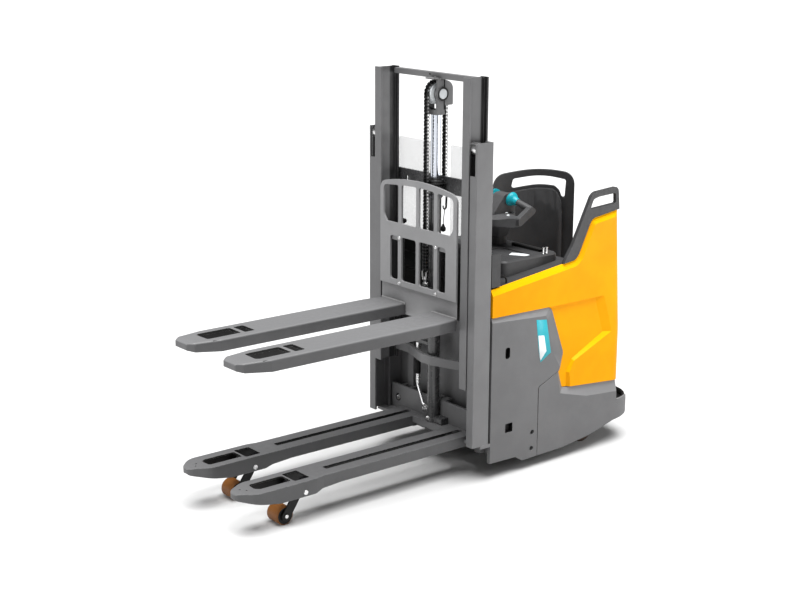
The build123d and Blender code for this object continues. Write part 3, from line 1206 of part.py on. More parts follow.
load_wheel = wheel(at(HUB[0]), HUB[1], LOAD_WHEEL_RADIUS, *LOAD_WHEEL_SPAN, LOAD_WHEEL_BEVEL, PIN_RADIUS)
castor_wheel = wheel(
    at(CASTOR["x"] - CASTOR["trail"]), CASTOR["radius"], CASTOR["radius"], CASTOR["y"] - CASTOR["half"],
    CASTOR["y"] + CASTOR["half"], CASTOR["bevel"], CASTOR["axle"],
)
drive_wheel = wheel(at(DRIVE_X), DRIVE_RADIUS, DRIVE_RADIUS, -DRIVE_HALF, DRIVE_HALF, DRIVE_BEVEL, DRIVE_AXLE)

paired_parts = {
    "outer_column": outer_column(),
    "outer_roller": outer_roller(),
    "support_arm": support_arm(),
    "rocker": rocker(),
    "load_wheel": load_wheel,
    "inner_column": inner_column(),
    "carriage_roller": carriage_roller(),
    "fork": fork(),
    "side_cover": side_cover(),
    "castor_fork": castor_fork(),
    "castor_wheel": castor_wheel,
}

parts = {
    "outer_crossbar": outer_crossbar(),
    "mast_foot": mast_foot(),
    "push_rods": push_rods(),
    "mast_cylinder": mast_cylinder(),
    "hydraulic_line": hydraulic_line(),
    "lift_rods": lift_rods(),
    "lift_cylinders": lift_cylinders(),
    "guard_panes": guard_panes(),
    "chain_rear": chain_strand(CHAIN_REAR_X, CHAIN_REAR_END, PULLEY_HEIGHT),
    "chain_front": chain_strand(CHAIN_FRONT_X, CHAIN_FRONT_END, PULLEY_HEIGHT),
    "inner_top_bar": inner_top_bar(),
    "inner_lower_bar": inner_lower_bar(),
    "piston_rod": piston_rod(),
    "pulley_head": pulley_head(),
    "chain_pulley": chain_pulley(),
    "chain_wrap": chain_wrap(),
    "carriage_frame": carriage_frame(),
    "load_guard": load_guard(),
    "guard_bolts": guard_bolts(),
    "hull_left": hull_left(),
    "hull_right": hull_right(),
    "rear_skirt": rear_skirt(),
    "grab_frame": grab_frame(),
    "backrest_shell": backrest_shell(),
    "backrest_pad": backrest_pad(),
    "console_hood": console_hood(),
    "chassis_frame": chassis_frame(),
    "platform_mat": platform_mat(),
    "battery": battery(),
    "power_pack": power_pack(),
    "drive_turret": drive_turret(),
    "drive_wheel": drive_wheel,
    "steering_wheel": steering_wheel(),
}
for name, part in paired_parts.items():
    parts[name + "_left"] = part
    parts[name + "_right"] = right_hand(part)
for name, side in (("left", 1), ("right", -1)):
    parts["thumb_switch_" + name] = thumb_switch(side)
    parts["thumb_button_" + name] = thumb_button(side)

os.makedirs("parts", exist_ok=True)
for name, part in parts.items():
    export_step(part, os.path.join("parts", name + ".step"))
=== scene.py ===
import json
import math

import bmesh
import bpy
from mathutils import Matrix, Vector


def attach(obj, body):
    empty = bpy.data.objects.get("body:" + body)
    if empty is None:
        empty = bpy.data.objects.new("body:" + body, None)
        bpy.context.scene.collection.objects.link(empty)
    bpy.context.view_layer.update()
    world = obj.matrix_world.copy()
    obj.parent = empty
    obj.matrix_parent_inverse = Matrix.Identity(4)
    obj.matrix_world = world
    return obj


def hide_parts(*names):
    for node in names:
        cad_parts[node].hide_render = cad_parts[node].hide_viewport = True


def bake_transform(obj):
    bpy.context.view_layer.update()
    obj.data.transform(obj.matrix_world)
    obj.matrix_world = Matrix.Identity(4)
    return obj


# Pieces are in millimetres, and their X is the distance ahead of the mast's front face.
# Materials, the cloth and the stage are in metres, in the frame.

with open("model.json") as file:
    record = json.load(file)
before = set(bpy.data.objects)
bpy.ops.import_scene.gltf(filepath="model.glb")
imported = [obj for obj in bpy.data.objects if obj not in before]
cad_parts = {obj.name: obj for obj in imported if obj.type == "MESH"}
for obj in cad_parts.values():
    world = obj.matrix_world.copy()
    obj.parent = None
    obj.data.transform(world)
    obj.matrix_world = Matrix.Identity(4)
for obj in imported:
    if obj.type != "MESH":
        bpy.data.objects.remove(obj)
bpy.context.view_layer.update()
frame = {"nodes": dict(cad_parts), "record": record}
nodes = frame["nodes"]
SIDES = (("left", 1), ("right", -1))
X_AXIS, Y_AXIS, Z_AXIS = (1, 0, 0), (0, 1, 0), (0, 0, 1)
MAST_FRONT = -22.0
PIPE_TOP = 398


def place(x, y, z):
    """Point in the frame, in metres."""
    return Vector((MAST_FRONT + x, y, z)) / 1000


# Materials

MIX_SHARE, MIX_FIRST, MIX_SECOND, MIX_RESULT = 0, 6, 7, 2
EDGE_COSINES = (0.8, 0.995)
HOLLOW_LIGHT = (0.15, 0.8)
MASK_BLUR = 0.0004
# Reach of the ambient occlusion that paints shade into hollows, in metres
SHADE_REACH = 0.13


class Shader:
    """Node material round one Principled shader, with short ways to add nodes."""

    def __init__(self, name):
        self.material = bpy.data.materials.new(name)
        self.material.use_nodes = True
        self.tree = self.material.node_tree
        self.surface = self.tree.nodes["Principled BSDF"]
        self.coordinates = self.add("ShaderNodeTexCoord").outputs["Object"]

    def add(self, kind, links=(), **values):
        """New node with some of its properties set and some of its inputs linked."""
        node = self.tree.nodes.new(kind)
        for key, value in values.items():
            setattr(node, key, value)
        for key, source in dict(links).items():
            self.feed(node.inputs[key], source)
        return node

    def feed(self, socket, source):
        """Link a socket to another, or set its number or colour."""
        if isinstance(source, bpy.types.NodeSocket):
            self.tree.links.new(source, socket)
        else:
            socket.default_value = source

    def noise(self, scale, detail=3.0, stretch=None):
        """Noise in object space, stretched along the axes if asked."""
        spot = self.coordinates
        if stretch:
            spot = self.add("ShaderNodeMapping", {"Vector": spot, "Scale": stretch}).outputs[0]
        return self.add("ShaderNodeTexNoise", {"Vector": spot, "Scale": scale, "Detail": detail}).outputs[0]

    def ramp(self, source, low=0.0, high=1.0, start=0.0, end=1.0):
        """Value from low to high as the source goes from start to end."""
        links = {"Value": source, "From Min": start, "From Max": end, "To Min": low, "To Max": high}
        return self.add("ShaderNodeMapRange", links).outputs[0]

    def mix(self, share, first, second):
        """Mix of two colours."""
        links = {MIX_SHARE: share, MIX_FIRST: first, MIX_SECOND: second}
        return self.add("ShaderNodeMix", links, data_type="RGBA").outputs[MIX_RESULT]

    def calculate(self, operation, *terms):
        """Result of one operation on one or two values."""
        return self.add("ShaderNodeMath", enumerate(terms), operation=operation).outputs[0]

    def times(self, first, second):
        """Product of two values."""
        return self.calculate("MULTIPLY", first, second)

    def component(self, vector, axis):
        """Part of a vector along an axis."""
        return self.add("ShaderNodeSeparateXYZ", {0: vector}).outputs[axis]

    def edges(self, radius):
        """Normal rounded at sharp edges, and a mask that is 1 along them."""
        soft = self.add("ShaderNodeBevel", {"Radius": radius}, samples=4).outputs[0]
        true = self.add("ShaderNodeNewGeometry").outputs["True Normal"]
        dot = self.add("ShaderNodeVectorMath", {0: soft, 1: true}, operation="DOT_PRODUCT")
        return soft, self.ramp(dot.outputs["Value"], 1.0, 0.0, *EDGE_COSINES)

    def hollows(self, reach):
        """Mask that is 1 in corners and hollows, from ambient occlusion, for painted shade where shade falls.
        """
        shadow = self.add("ShaderNodeAmbientOcclusion", {"Distance": reach}, samples=4).outputs["AO"]
        return self.ramp(shadow, 1.0, 0.0, *HOLLOW_LIGHT)

    def beyond(self, axis, start, end):
        """Mask that goes from 0 to 1 between two places along an axis."""
        return self.ramp(self.component(self.coordinates, axis), start=start, end=end)

    def upward(self, start, end):
        """Mask that goes from 0 to 1 as faces turn upward, for painted light on faces lit from above."""
        normal = self.add("ShaderNodeNewGeometry").outputs["Normal"]
        return self.ramp(self.component(normal, "Z"), start=start, end=end)

    def off_centre(self, middle=0.0):
        """Distance of a point from two upright planes, one on each side of the middle of the object."""
        across = self.calculate("ABSOLUTE", self.component(self.coordinates, "Y"))
        return self.calculate("ABSOLUTE", self.calculate("SUBTRACT", across, middle))

    def inside(self, middle, half, height, start, end):
        """Mask that is 1 in a pair of hollows about a middle, below a height and from a start to an end."""
        within = self.ramp(self.off_centre(middle), 1.0, 0.0, half, half + MASK_BLUR)
        below = self.beyond("Z", height + MASK_BLUR, height)
        ahead = self.beyond("X", start - MASK_BLUR, start)
        behind = self.beyond("X", end + MASK_BLUR, end)
        return self.times(self.times(within, below), self.times(ahead, behind))

    def bump(self, height, strength, distance, normal=None):
        """Bump from a height, on top of another normal if given."""
        links = {"Height": height, "Strength": strength, "Distance": distance}
        if normal is not None:
            links["Normal"] = normal
        return self.add("ShaderNodeBump", links).outputs[0]

    def set(self, **values):
        """Set or link inputs of the shader, named with underscores for blanks."""
        for key, value in values.items():
            self.feed(self.surface.inputs[key.replace("_", " ")], value)


def colour(red, green, blue):
    """Linear colour from display values of 0 to 255."""
    parts = []
    for value in (red, green, blue):
        share = value / 255
        parts.append(share / 12.92 if share <= 0.04045 else ((share + 0.055) / 1.055) ** 2.4)
    return (*parts, 1.0)


def even(level):
    """Gray of a linear level."""
    return (level, level, level, 1.0)


def shade(base, factor):
    """Colour made lighter or darker by a factor."""
    return (*[min(1.0, value * factor) for value in base[:3]], 1.0)


# Black of greased tracks, also painted into the rail channels as shade
GREASE_AND_SHADE = colour(10, 10, 10)
# Near black painted into troughs and slots as shade
TROUGH_SHADE = colour(8, 8, 8)


def paint(name, base, roughness, wear, grain=900.0, bump=0.08, edge=0.0025, gloss=0.4, **marks):
    """Sprayed paint: cloudy colour, orange-peel bump and worn edges, with marks of use and painted light and
    shade.
    """
    shader = Shader(name)
    cloud = shader.ramp(shader.noise(scale=9.0, detail=5.0), start=0.35, end=0.65)
    tone = shader.mix(cloud, shade(base, 0.95), shade(base, 1.05))
    normal, mask = shader.edges(edge)
    # Second colour ahead of a place along an axis; on the chassis this is its real gray, over a body painted
    # dark as shade
    if "coat" in marks:
        axis, start, end, second = marks["coat"]
        tone = shader.mix(shader.beyond(axis, start, end), tone, second)
    # Painted light: faces that turn upward painted lighter than the sides, as lit from above
    if "rubbed" in marks:
        pale, start, end = marks["rubbed"]
        tone = shader.mix(shader.upward(start, end), tone, pale)
    # Painted shade: corners and hollows darkened nearly to black, where shade falls
    if "dirt" in marks:
        tone = shader.mix(shader.times(shader.hollows(SHADE_REACH), marks["dirt"]), tone, shade(base, 0.06))
    # Greased track and painted shade: the rear of a channel painted black, with streaks
    if "grease" in marks:
        streaks = shader.noise(scale=40.0, detail=4.0, stretch=(1.0, 1.0, 0.1))
        smear = shader.ramp(streaks, low=0.8, start=0.3, end=0.7)
        tone = shader.mix(shader.times(shader.beyond(*marks["grease"]), smear), tone, GREASE_AND_SHADE)
    # Painted shade: insides of the arm and fork troughs and of the cover slots painted nearly black
    if "trough" in marks:
        tone = shader.mix(shader.inside(*marks["trough"]), tone, TROUGH_SHADE)
    scuff = shader.ramp(shader.noise(scale=160.0, detail=2.0), start=0.4, end=0.62)
    sheen = shader.noise(scale=35.0, detail=4.0)
    shader.set(
        Base_Color=shader.mix(shader.times(mask, scuff), tone, wear),
        Roughness=shader.ramp(sheen, roughness - 0.05, roughness + 0.06, start=0.3, end=0.7),
        Normal=shader.bump(shader.noise(grain, detail=2.0), bump, distance=0.001, normal=normal),
        Specular_IOR_Level=gloss,
    )
    return shader.material


def metal(name, base, roughness, stretch, edge=0.0008, bump=0.05):
    """Machined or drawn metal with fine lines along one direction."""
    shader = Shader(name)
    lines = shader.noise(scale=260.0, stretch=stretch)
    tone = shader.mix(shader.ramp(lines, start=0.3, end=0.7), shade(base, 0.82), shade(base, 1.1))
    normal = shader.edges(edge)[0] if edge else None
    shader.set(
        Base_Color=tone,
        Metallic=1.0,
        Roughness=shader.ramp(lines, roughness - 0.06, roughness + 0.08, start=0.3, end=0.7),
        Normal=shader.bump(lines, bump, distance=0.0004, normal=normal),
    )
    return shader.material


def laced(name, inner, outer, pins):
    """Oiled chain steel: dark inside, paler outer plates and pin ends worn bright."""
    shader = Shader(name)
    speck = shader.noise(scale=500.0, detail=2.0)
    aside = shader.off_centre()
    tone = shader.mix(shader.ramp(aside, start=0.0093, end=0.0095), even(inner), even(outer))
    tone = shader.mix(shader.ramp(aside, start=0.01183, end=0.01188), tone, even(pins))
    normal, _ = shader.edges(0.0006)
    shader.set(
        Base_Color=tone,
        Metallic=1.0,
        Roughness=shader.ramp(speck, 0.28, 0.45, start=0.3, end=0.7),
        Normal=shader.bump(speck, strength=0.05, distance=0.0004, normal=normal),
    )
    return shader.material


def moulded(name, base, roughness, grain=1400.0, bump=0.25, gloss=0.3):
    """Moulded plastic or rubber with a spark-eroded grain."""
    shader = Shader(name)
    links = {"Vector": shader.coordinates, "Scale": grain}
    cells = shader.add("ShaderNodeTexVoronoi", links).outputs["Distance"]
    cloud = shader.ramp(shader.noise(scale=14.0, detail=4.0), start=0.3, end=0.7)
    tone = shader.mix(cloud, shade(base, 0.88), shade(base, 1.12))
    normal, mask = shader.edges(0.0015)
    sheen = shader.noise(scale=60.0)
    shader.set(
        Base_Color=shader.mix(shader.ramp(mask, high=0.3), tone, shade(base, 1.7)),
        Roughness=shader.ramp(sheen, roughness - 0.06, roughness + 0.08, start=0.3, end=0.7),
        Normal=shader.bump(cells, bump, distance=0.0006, normal=normal),
        Specular_IOR_Level=gloss,
    )
    return shader.material


def piped_hose(name, height):
    """Hose with a woven black cover above a height, and a plated steel pipe below it."""
    shader = Shader(name)
    above = shader.beyond("Z", height - 0.0005, height + 0.0005)
    links = {"Vector": shader.coordinates, "Scale": 160.0, "Distortion": 1.5}
    weave = shader.add("ShaderNodeTexWave", links).outputs["Fac"]
    cover = shader.mix(weave, colour(20, 20, 20), colour(46, 46, 46))
    plating = shader.mix(shader.noise(scale=90.0), (0.52, 0.52, 0.53, 1.0), (0.74, 0.74, 0.75, 1.0))
    shader.set(
        Base_Color=shader.mix(above, plating, cover),
        Metallic=shader.ramp(above, low=1.0, high=0.0),
        Roughness=shader.ramp(above, low=0.25, high=0.65),
        Normal=shader.bump(shader.times(weave, above), strength=0.3, distance=0.0006),
    )
    return shader.material


def clear_sheet(name):
    """Clear sheet with faint haze and scratches."""
    shader = Shader(name)
    haze = shader.noise(scale=6.0, detail=5.0)
    scratches = shader.noise(scale=420.0, detail=2.0, stretch=(1.0, 0.15, 1.0))
    shader.set(
        Base_Color=shader.mix(haze, (0.34, 0.35, 0.35, 1.0), (0.42, 0.43, 0.43, 1.0)),
        Roughness=shader.ramp(scratches, low=0.08, high=0.2, start=0.4, end=0.7),
        Alpha=0.26,
        IOR=1.3,
    )
    return shader.material


# Hollows that hold no light, painted near black as painted shade: middle and half width across, height, start
# and end
ARM_TROUGHS = (0.1875, 0.0685, 0.1955, -0.08, 1.03)
FORK_TROUGHS = (0.19, 0.0838, 0.7672, 0.11, 1.03)
COVER_HOLLOWS = (0.34, 0.0345, 0.64, -0.28, -0.205)

# Black greased tracks, partly painted shade, and second coats over a body painted dark as shade: axis, start
# and end
CARRIAGE_GREASE = ("X", -0.0148, -0.016)
RAIL_GREASE_AND_SHADE = ("X", -0.095, -0.101)
FAR_RAIL_GREASE_AND_SHADE = ("X", -0.080, -0.088)
CHASSIS_FRONT = ("X", -0.214, -0.208)

# Slants at which faces begin and end to be painted lighter, as painted light from above
TOPS = (0.3, 0.85)
COVER_SLOPES = (0.06, 0.2)
HULL_SLOPES = (0.15, 0.6)

FRAME_GRAY = colour(103, 103, 104)
MAST_GRAY = colour(101, 101, 102)
PALE_GRAY = colour(132, 132, 133)
WORN_GRAY = colour(136, 136, 136)
TUBE_GRAY = colour(66, 66, 67)

GRAY = paint("gray_paint", FRAME_GRAY, 0.5, WORN_GRAY, dirt=0.85)
STEEL_GRAY = paint("mast_paint", MAST_GRAY, 0.45, WORN_GRAY, dirt=0.5)
# Arm paint darker than the frame paint as painted shade under the forks, and lighter on top as painted light
ARM_GRAY = paint(
    "arm_paint", colour(74, 74, 75), 0.45, WORN_GRAY,
    edge=0.004, dirt=0.15, rubbed=(colour(93, 93, 94), *TOPS), trough=ARM_TROUGHS,
)
# Fork paint: sides darker than the frame paint as painted shade, tops in the frame gray as painted light
FORK_GRAY = paint(
    "fork_paint", colour(76, 76, 77), 0.45, WORN_GRAY,
    edge=0.003, dirt=0.4, rubbed=(FRAME_GRAY, *TOPS), trough=FORK_TROUGHS,
)
GUARD_GRAY = paint("guard_paint", PALE_GRAY, 0.5, colour(150, 150, 150), dirt=0.6)
CARRIAGE_GRAY = paint("carriage_paint", PALE_GRAY, 0.5, WORN_GRAY, dirt=0.85, grease=CARRIAGE_GREASE)
# Cover paint: bevels painted lighter as painted highlight, slot insides painted near black as painted shade
COVER_GRAY = paint(
    "cover_paint", colour(91, 91, 92), 0.5, colour(118, 118, 118),
    rubbed=(colour(112, 112, 113), *COVER_SLOPES), trough=COVER_HOLLOWS,
)
# Chassis painted near black as painted shade inside the drive unit, with its real gray only on its front face
CHASSIS_IN_SHADE = paint(
    "chassis_paint_in_shade", colour(20, 20, 21), 0.5, MAST_GRAY, dirt=0.4, coat=(*CHASSIS_FRONT, MAST_GRAY),
)
CYLINDER_GRAY = paint("cylinder_paint", TUBE_GRAY, 0.26, TUBE_GRAY, dirt=0.35, gloss=0.6)
FOOT_GRAY = paint("foot_paint", MAST_GRAY, 0.45, WORN_GRAY, dirt=0.25)
# Rails: rear of the channel painted black, part greased track and part painted shade, wider on the far rail
FAR_RAIL_GRAY = paint("far_rail_paint", MAST_GRAY, 0.45, WORN_GRAY, dirt=0.6, grease=FAR_RAIL_GREASE_AND_SHADE)
RAIL_GRAY = paint("rail_paint", MAST_GRAY, 0.45, WORN_GRAY, dirt=0.9, grease=RAIL_GREASE_AND_SHADE)
SEAM_GRAY = paint("seam_paint", colour(128, 128, 128), 0.4, colour(165, 165, 165), grain=500.0, bump=0.2)
# Hull yellow: upward bevels painted lighter as painted highlight
YELLOW = paint(
    "yellow_paint", colour(214, 142, 0), 0.42, colour(238, 184, 4),
    grain=700.0, bump=0.05, gloss=0.06, rubbed=(colour(226, 164, 2), *HULL_SLOPES),
)
BLACK_PAINT = paint("black_paint", colour(17, 17, 17), 0.45, colour(60, 60, 60), gloss=0.25)
DARK_PLASTIC = moulded("dark_plastic", colour(52, 52, 53), 0.5)
YOKE_PLASTIC = moulded("yoke_plastic", colour(68, 68, 69), 0.45)
CUSHION = moulded("cushion_skin", colour(50, 50, 51), 0.6, grain=650.0, bump=0.4, gloss=0.2)
RUBBER = moulded("rubber", colour(20, 20, 20), 0.75, grain=500.0, bump=0.3, gloss=0.2)
LOAD_TREAD = moulded("load_tread", colour(118, 73, 30), 0.45, grain=380.0, bump=0.12)
DRIVE_TREAD = moulded("drive_tread", colour(70, 54, 42), 0.7, grain=380.0, bump=0.2)
TEAL = moulded("teal_plastic", colour(10, 140, 152), 0.35, grain=1600.0, bump=0.1)
PALE = moulded("pale_plate", colour(206, 210, 212), 0.4, grain=1800.0, bump=0.05)
CHROME = metal("chrome", (0.62, 0.65, 0.71, 1.0), 0.12, (0.2, 0.2, 0.004), edge=0.0, bump=0.004)
STEEL = metal("bright_steel", even(0.74), 0.27, (1.0, 0.05, 1.0))
DARK_STEEL = metal("oiled_steel", (0.07, 0.07, 0.075, 1.0), 0.35, (1.0, 1.0, 0.4))
CHAIN_STEEL = laced("chain_steel", inner=0.025, outer=0.11, pins=0.6)
ALUMINIUM = metal("cast_aluminium", even(0.5), 0.45, (1.0, 1.0, 1.0), bump=0.3)
HOSE = piped_hose("hose", PIPE_TOP / 1000)
CLEAR = clear_sheet("clear_pane")

FINISHES = {
    "frame_paint": GRAY,
    "dark_steel": BLACK_PAINT,
    "hull_paint": YELLOW,
    "dark_plastic": DARK_PLASTIC,
    "cushion": CUSHION,
    "mat": RUBBER,
    "hose": HOSE,
    "load_tread": LOAD_TREAD,
    "drive_tread": DRIVE_TREAD,
    "pane": CLEAR,
    "chrome": CHROME,
    "bright_steel": STEEL,
    "chain": CHAIN_STEEL,
    "switch": TEAL,
    "pump": ALUMINIUM,
}
OWN_FINISHES = {
    "inner_column_left": RAIL_GRAY,
    "inner_column_right": FAR_RAIL_GRAY,
    "outer_column_left": STEEL_GRAY,
    "outer_column_right": STEEL_GRAY,
    "support_arm_left": ARM_GRAY,
    "support_arm_right": ARM_GRAY,
    "fork_left": FORK_GRAY,
    "fork_right": FORK_GRAY,
    "carriage_frame": CARRIAGE_GRAY,
    "load_guard": GUARD_GRAY,
    "side_cover_left": COVER_GRAY,
    "side_cover_right": COVER_GRAY,
    "rear_skirt": COVER_GRAY,
    "chassis_frame": CHASSIS_IN_SHADE,
    # Crossbar in the darker cylinder paint as painted shade
    "outer_crossbar": CYLINDER_GRAY,
    "mast_cylinder": CYLINDER_GRAY,
    "chain_pulley": PALE,
    "mast_foot": FOOT_GRAY,
    "steering_wheel": YOKE_PLASTIC,
    # Lift cylinders, lift rods and push rods painted dark as painted shade, where they stand in the shade
    # under the mast foot
    "lift_cylinders": BLACK_PAINT,
    "lift_rods": DARK_STEEL,
    "push_rods": DARK_STEEL,
}
for entry in frame["record"]["subparts"]:
    node = nodes[entry["node"]]
    node.data.materials.clear()
    node.data.materials.append(OWN_FINISHES.get(entry["node"], FINISHES[entry["material_slot"]]))


# Pieces

SHARP_ANGLE = math.radians(35.0)
WASHER_SHARE, WASHER_THICKNESS = 1.12, 1.2
CHAMFER_SHARE = 0.12


class Piece:
    """Mesh piece built up from turned, cut and bent shapes."""

    def __init__(self):
        self.mesh = bmesh.new()

    def skin(self, rings, closed=False):
        """Faces between rings of points, capped at both ends or closed to a loop."""
        rows = [[self.mesh.verts.new(point) for point in ring] for ring in rings]
        pairs = list(zip(rows, rows[1:]))
        if closed:
            pairs.append((rows[-1], rows[0]))
        for low, high in pairs:
            for index in range(len(low)):
                after = (index + 1) % len(low)
                self.mesh.faces.new((low[index], low[after], high[after], high[index]))
        if not closed:
            self.mesh.faces.new(reversed(rows[0]))
            self.mesh.faces.new(rows[-1])

    def turned(self, start, axis, profile, sides=20, closed=False):
        """Shape turned round an axis, from a profile of (distance along the axis, radius)."""
        turn = Vector(axis).to_track_quat("Z", "Y").to_matrix()
        rings = []
        for along, radius in profile:
            ring = []
            for index in range(sides):
                angle = 2 * math.pi * (index + 0.5) / sides
                flat = Vector((radius * math.cos(angle), radius * math.sin(angle), along))
                ring.append(Vector(start) + turn @ flat)
            rings.append(ring)
        self.skin(rings, closed)

    def slab(self, start, across, up, corners, thickness, bevel=0.0):
        """Plate with an outline in two directions, its thickness along their cross product."""
        across, up = Vector(across).normalized(), Vector(up).normalized()
        through = across.cross(up) * thickness
        ring = [Vector(start) + across * u + up * v for u, v in corners]
        first = len(self.mesh.faces)
        self.skin([ring, [point + through for point in ring]])
        if bevel:
            self.mesh.faces.ensure_lookup_table()
            edges = list(dict.fromkeys(edge for face in self.mesh.faces[first:] for edge in face.edges))
            bmesh.ops.bevel(self.mesh, geom=edges, offset=bevel, segments=2, profile=0.5, affect="EDGES")

    def bent(self, points, radii, sides=10):
        """Round bar along points, with one radius or one for each point."""
        points = [Vector(point) for point in points]
        if not isinstance(radii, (list, tuple)):
            radii = [radii] * len(points)
        rings = []
        side = None
        for index, point in enumerate(points):
            ahead = points[min(index + 1, len(points) - 1)] - points[max(index - 1, 0)]
            ahead.normalize()
            side = ahead.orthogonal() if side is None else side - ahead * side.dot(ahead)
            side.normalize()
            other = ahead.cross(side)
            ring = []
            for step in range(sides):
                angle = 2 * math.pi * step / sides
                ring.append(point + (side * math.cos(angle) + other * math.sin(angle)) * radii[index])
            rings.append(ring)
        self.skin(rings)

    def nut(self, start, axis, height, radius):
        """Hexagon nut or bolt head with a washer face and chamfered corners."""
        washer = radius * WASHER_SHARE
        self.turned(start, axis, [(0, washer), (WASHER_THICKNESS, washer)])
        chamfer = radius * CHAMFER_SHARE
        profile = [(WASHER_THICKNESS, radius), (height - chamfer, radius), (height, radius - chamfer)]
        self.turned(start, axis, profile, sides=6)

    def finish(self, name, body, material, slot):
        """Object in the frame that rides on a body."""
        bmesh.ops.recalc_face_normals(self.mesh, faces=self.mesh.faces)
        for vertex in self.mesh.verts:
            vertex.co = place(*vertex.co)
        mesh = bpy.data.meshes.new(name)
        self.mesh.to_mesh(mesh)
        self.mesh.free()
        mesh.shade_smooth()
        mesh.set_sharp_from_angle(angle=SHARP_ANGLE)
        mesh.materials.append(material)
        piece = bpy.data.objects.new(name, mesh)
        bpy.context.scene.collection.objects.link(piece)
        if body:
            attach(piece, body)
        return piece


def rounded(half_width, half_height, radius, steps=5):
    """Corners of a rectangle with round corners, about its middle."""
    corners = []
    for index, (u, v) in enumerate(((1, 1), (-1, 1), (-1, -1), (1, -1))):
        for step in range(steps + 1):
            angle = math.pi / 2 * (index + step / steps)
            x = u * (half_width - radius) + radius * math.cos(angle)
            corners.append((x, v * (half_height - radius) + radius * math.sin(angle)))
    return corners


def arc(centre, first, second, radius, start, stop, steps=14):
    """Points on an arc about a centre, in the plane of two directions, between two angles in degrees."""
    points = []
    for step in range(steps + 1):
        angle = math.radians(start + (stop - start) * step / steps)
        way = Vector(first) * math.cos(angle) + Vector(second) * math.sin(angle)
        points.append(Vector(centre) + way * radius)
    return points


def eased(points, steps=8):
    """Smooth line through a few points."""
    points = [Vector(point) for point in points]
    line = []
    for index in range(len(points) - 1):
        before, start = points[max(index - 1, 0)], points[index]
        end, after = points[index + 1], points[min(index + 2, len(points) - 1)]
        for step in range(steps):
            t = step / steps
            bend = 2 * start + (end - before) * t + (2 * before - 5 * start + 4 * end - after) * t * t
            line.append((bend + (3 * start - before - 3 * end + after) * t ** 3) / 2)
    return line + [points[-1]]


def repeated(profile, pitch, count, start=0.0):
    """Profile of a thread or of ribs, from the profile of one turn or rib."""
    return [(start + pitch * index + along, radius) for index in range(count) for along, radius in profile]


# Chain: waisted plates on pins

CHAIN_FRONT, CHAIN_REAR = -32.0, -142.0
PULLEY_X, PULLEY_HEIGHT, WRAP_RADIUS = -87.0, 1749.0, 55.0
FRONT_END, REAR_END = 930.0, 1350.0
FRONT_LINKS, REAR_LINKS, WRAP_LINKS = 52, 25, 11
LINK_PLATE = 2.2
LINK_ROWS = ((-11.8, -5.6, 3.4, 9.6), (-9.2, -3.0, 0.8, 7.0))
LINK_END, LINK_WAIST = 8.5, 5.2
EYE_ANGLES = (-1.9, -1, 0, 1, 1.9)
LINK_PIN_START = -11.95
LINK_PIN = [(0, 2.6), (0.1, 3.6), (23.8, 3.6), (23.9, 2.6)]


def straight(x, start, end, count):
    """Pins of a straight run of chain."""
    return [Vector((x, 0, start + (end - start) * index / count)) for index in range(count + 1)]


def chain(name, pins):
    """Leaf chain along a line of pins."""
    piece = Piece()
    for index, (start, end) in enumerate(zip(pins, pins[1:])):
        half = (end - start).length / 2
        eye = [(half + LINK_END * math.cos(angle), LINK_END * math.sin(angle)) for angle in EYE_ANGLES]
        corners = eye + [(0, LINK_WAIST)] + [(-u, -v) for u, v in eye] + [(0, -LINK_WAIST)]
        along = (end - start).normalized()
        for row in LINK_ROWS[index % 2]:
            middle = (start + end) / 2 + Vector((0, row, 0))
            piece.slab(middle, along, Vector(Y_AXIS).cross(along), corners, LINK_PLATE)
    for pin in pins:
        piece.turned(pin + Vector((0, LINK_PIN_START, 0)), Y_AXIS, LINK_PIN, sides=8)
    piece = piece.finish(name, None, CHAIN_STEEL, "chain")
    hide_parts(name.replace("_links", ""))
    return piece


front_run = chain("chain_front_links", straight(CHAIN_FRONT, PULLEY_HEIGHT, FRONT_END, FRONT_LINKS))
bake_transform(front_run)
rear_run = chain("chain_rear_links", straight(CHAIN_REAR, REAR_END, PULLEY_HEIGHT, REAR_LINKS))
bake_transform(rear_run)
half_turn = arc((PULLEY_X, 0, PULLEY_HEIGHT), X_AXIS, Z_AXIS, WRAP_RADIUS, 0, 180, WRAP_LINKS)
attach(chain("chain_wrap_links", half_turn), "inner_mast")

CLEVIS_SIDES, CLEVIS_PLATE, CLEVIS_DROP = (-15.6, 12.4), 3.2, 12
CLEVIS_PIN_START = -16.6
CLEVIS_PIN = [(0, 2.5), (0.8, 4.2), (32.4, 4.2), (33.2, 2.5)]
BOSS_DROP = 38
BOSS = [(0, 9), (4, 15), (14, 15.6), (18, 8)]
STUD_TAIL = 12
THREAD_PITCH = 2.4
THREAD = [(0, 8.1), (0.6, 8.9), (1.4, 8.9), (2.0, 8.1)]
FRONT_NUTS = ((858, 1), (870, 1), (832, -1))
REAR_NUTS = ((1324, 1), (1308, -1))


def chain_anchor(name, body, x, end, nuts):
    """Clevis at a chain's end, with the nuts that hold its stud."""
    piece = Piece()
    for y in CLEVIS_SIDES:
        piece.slab((x, y, end - CLEVIS_DROP), Z_AXIS, X_AXIS, rounded(20, 8, 7.9), CLEVIS_PLATE, bevel=0.6)
    piece.turned((x, CLEVIS_PIN_START, end), Y_AXIS, CLEVIS_PIN, sides=12)
    piece.turned((x, 0, end - BOSS_DROP), Z_AXIS, BOSS, sides=16)
    for height, up in nuts:
        piece.nut((x, 0, height), (0, 0, up), height=10, radius=14)
    low, high = min(height for height, _ in nuts) - STUD_TAIL, end - BOSS_DROP
    thread = repeated(THREAD, THREAD_PITCH, int((high - low) / THREAD_PITCH))
    piece.turned((x, 0, low), Z_AXIS, thread, sides=12)
    piece.finish(name, body, STEEL, "bright_steel")


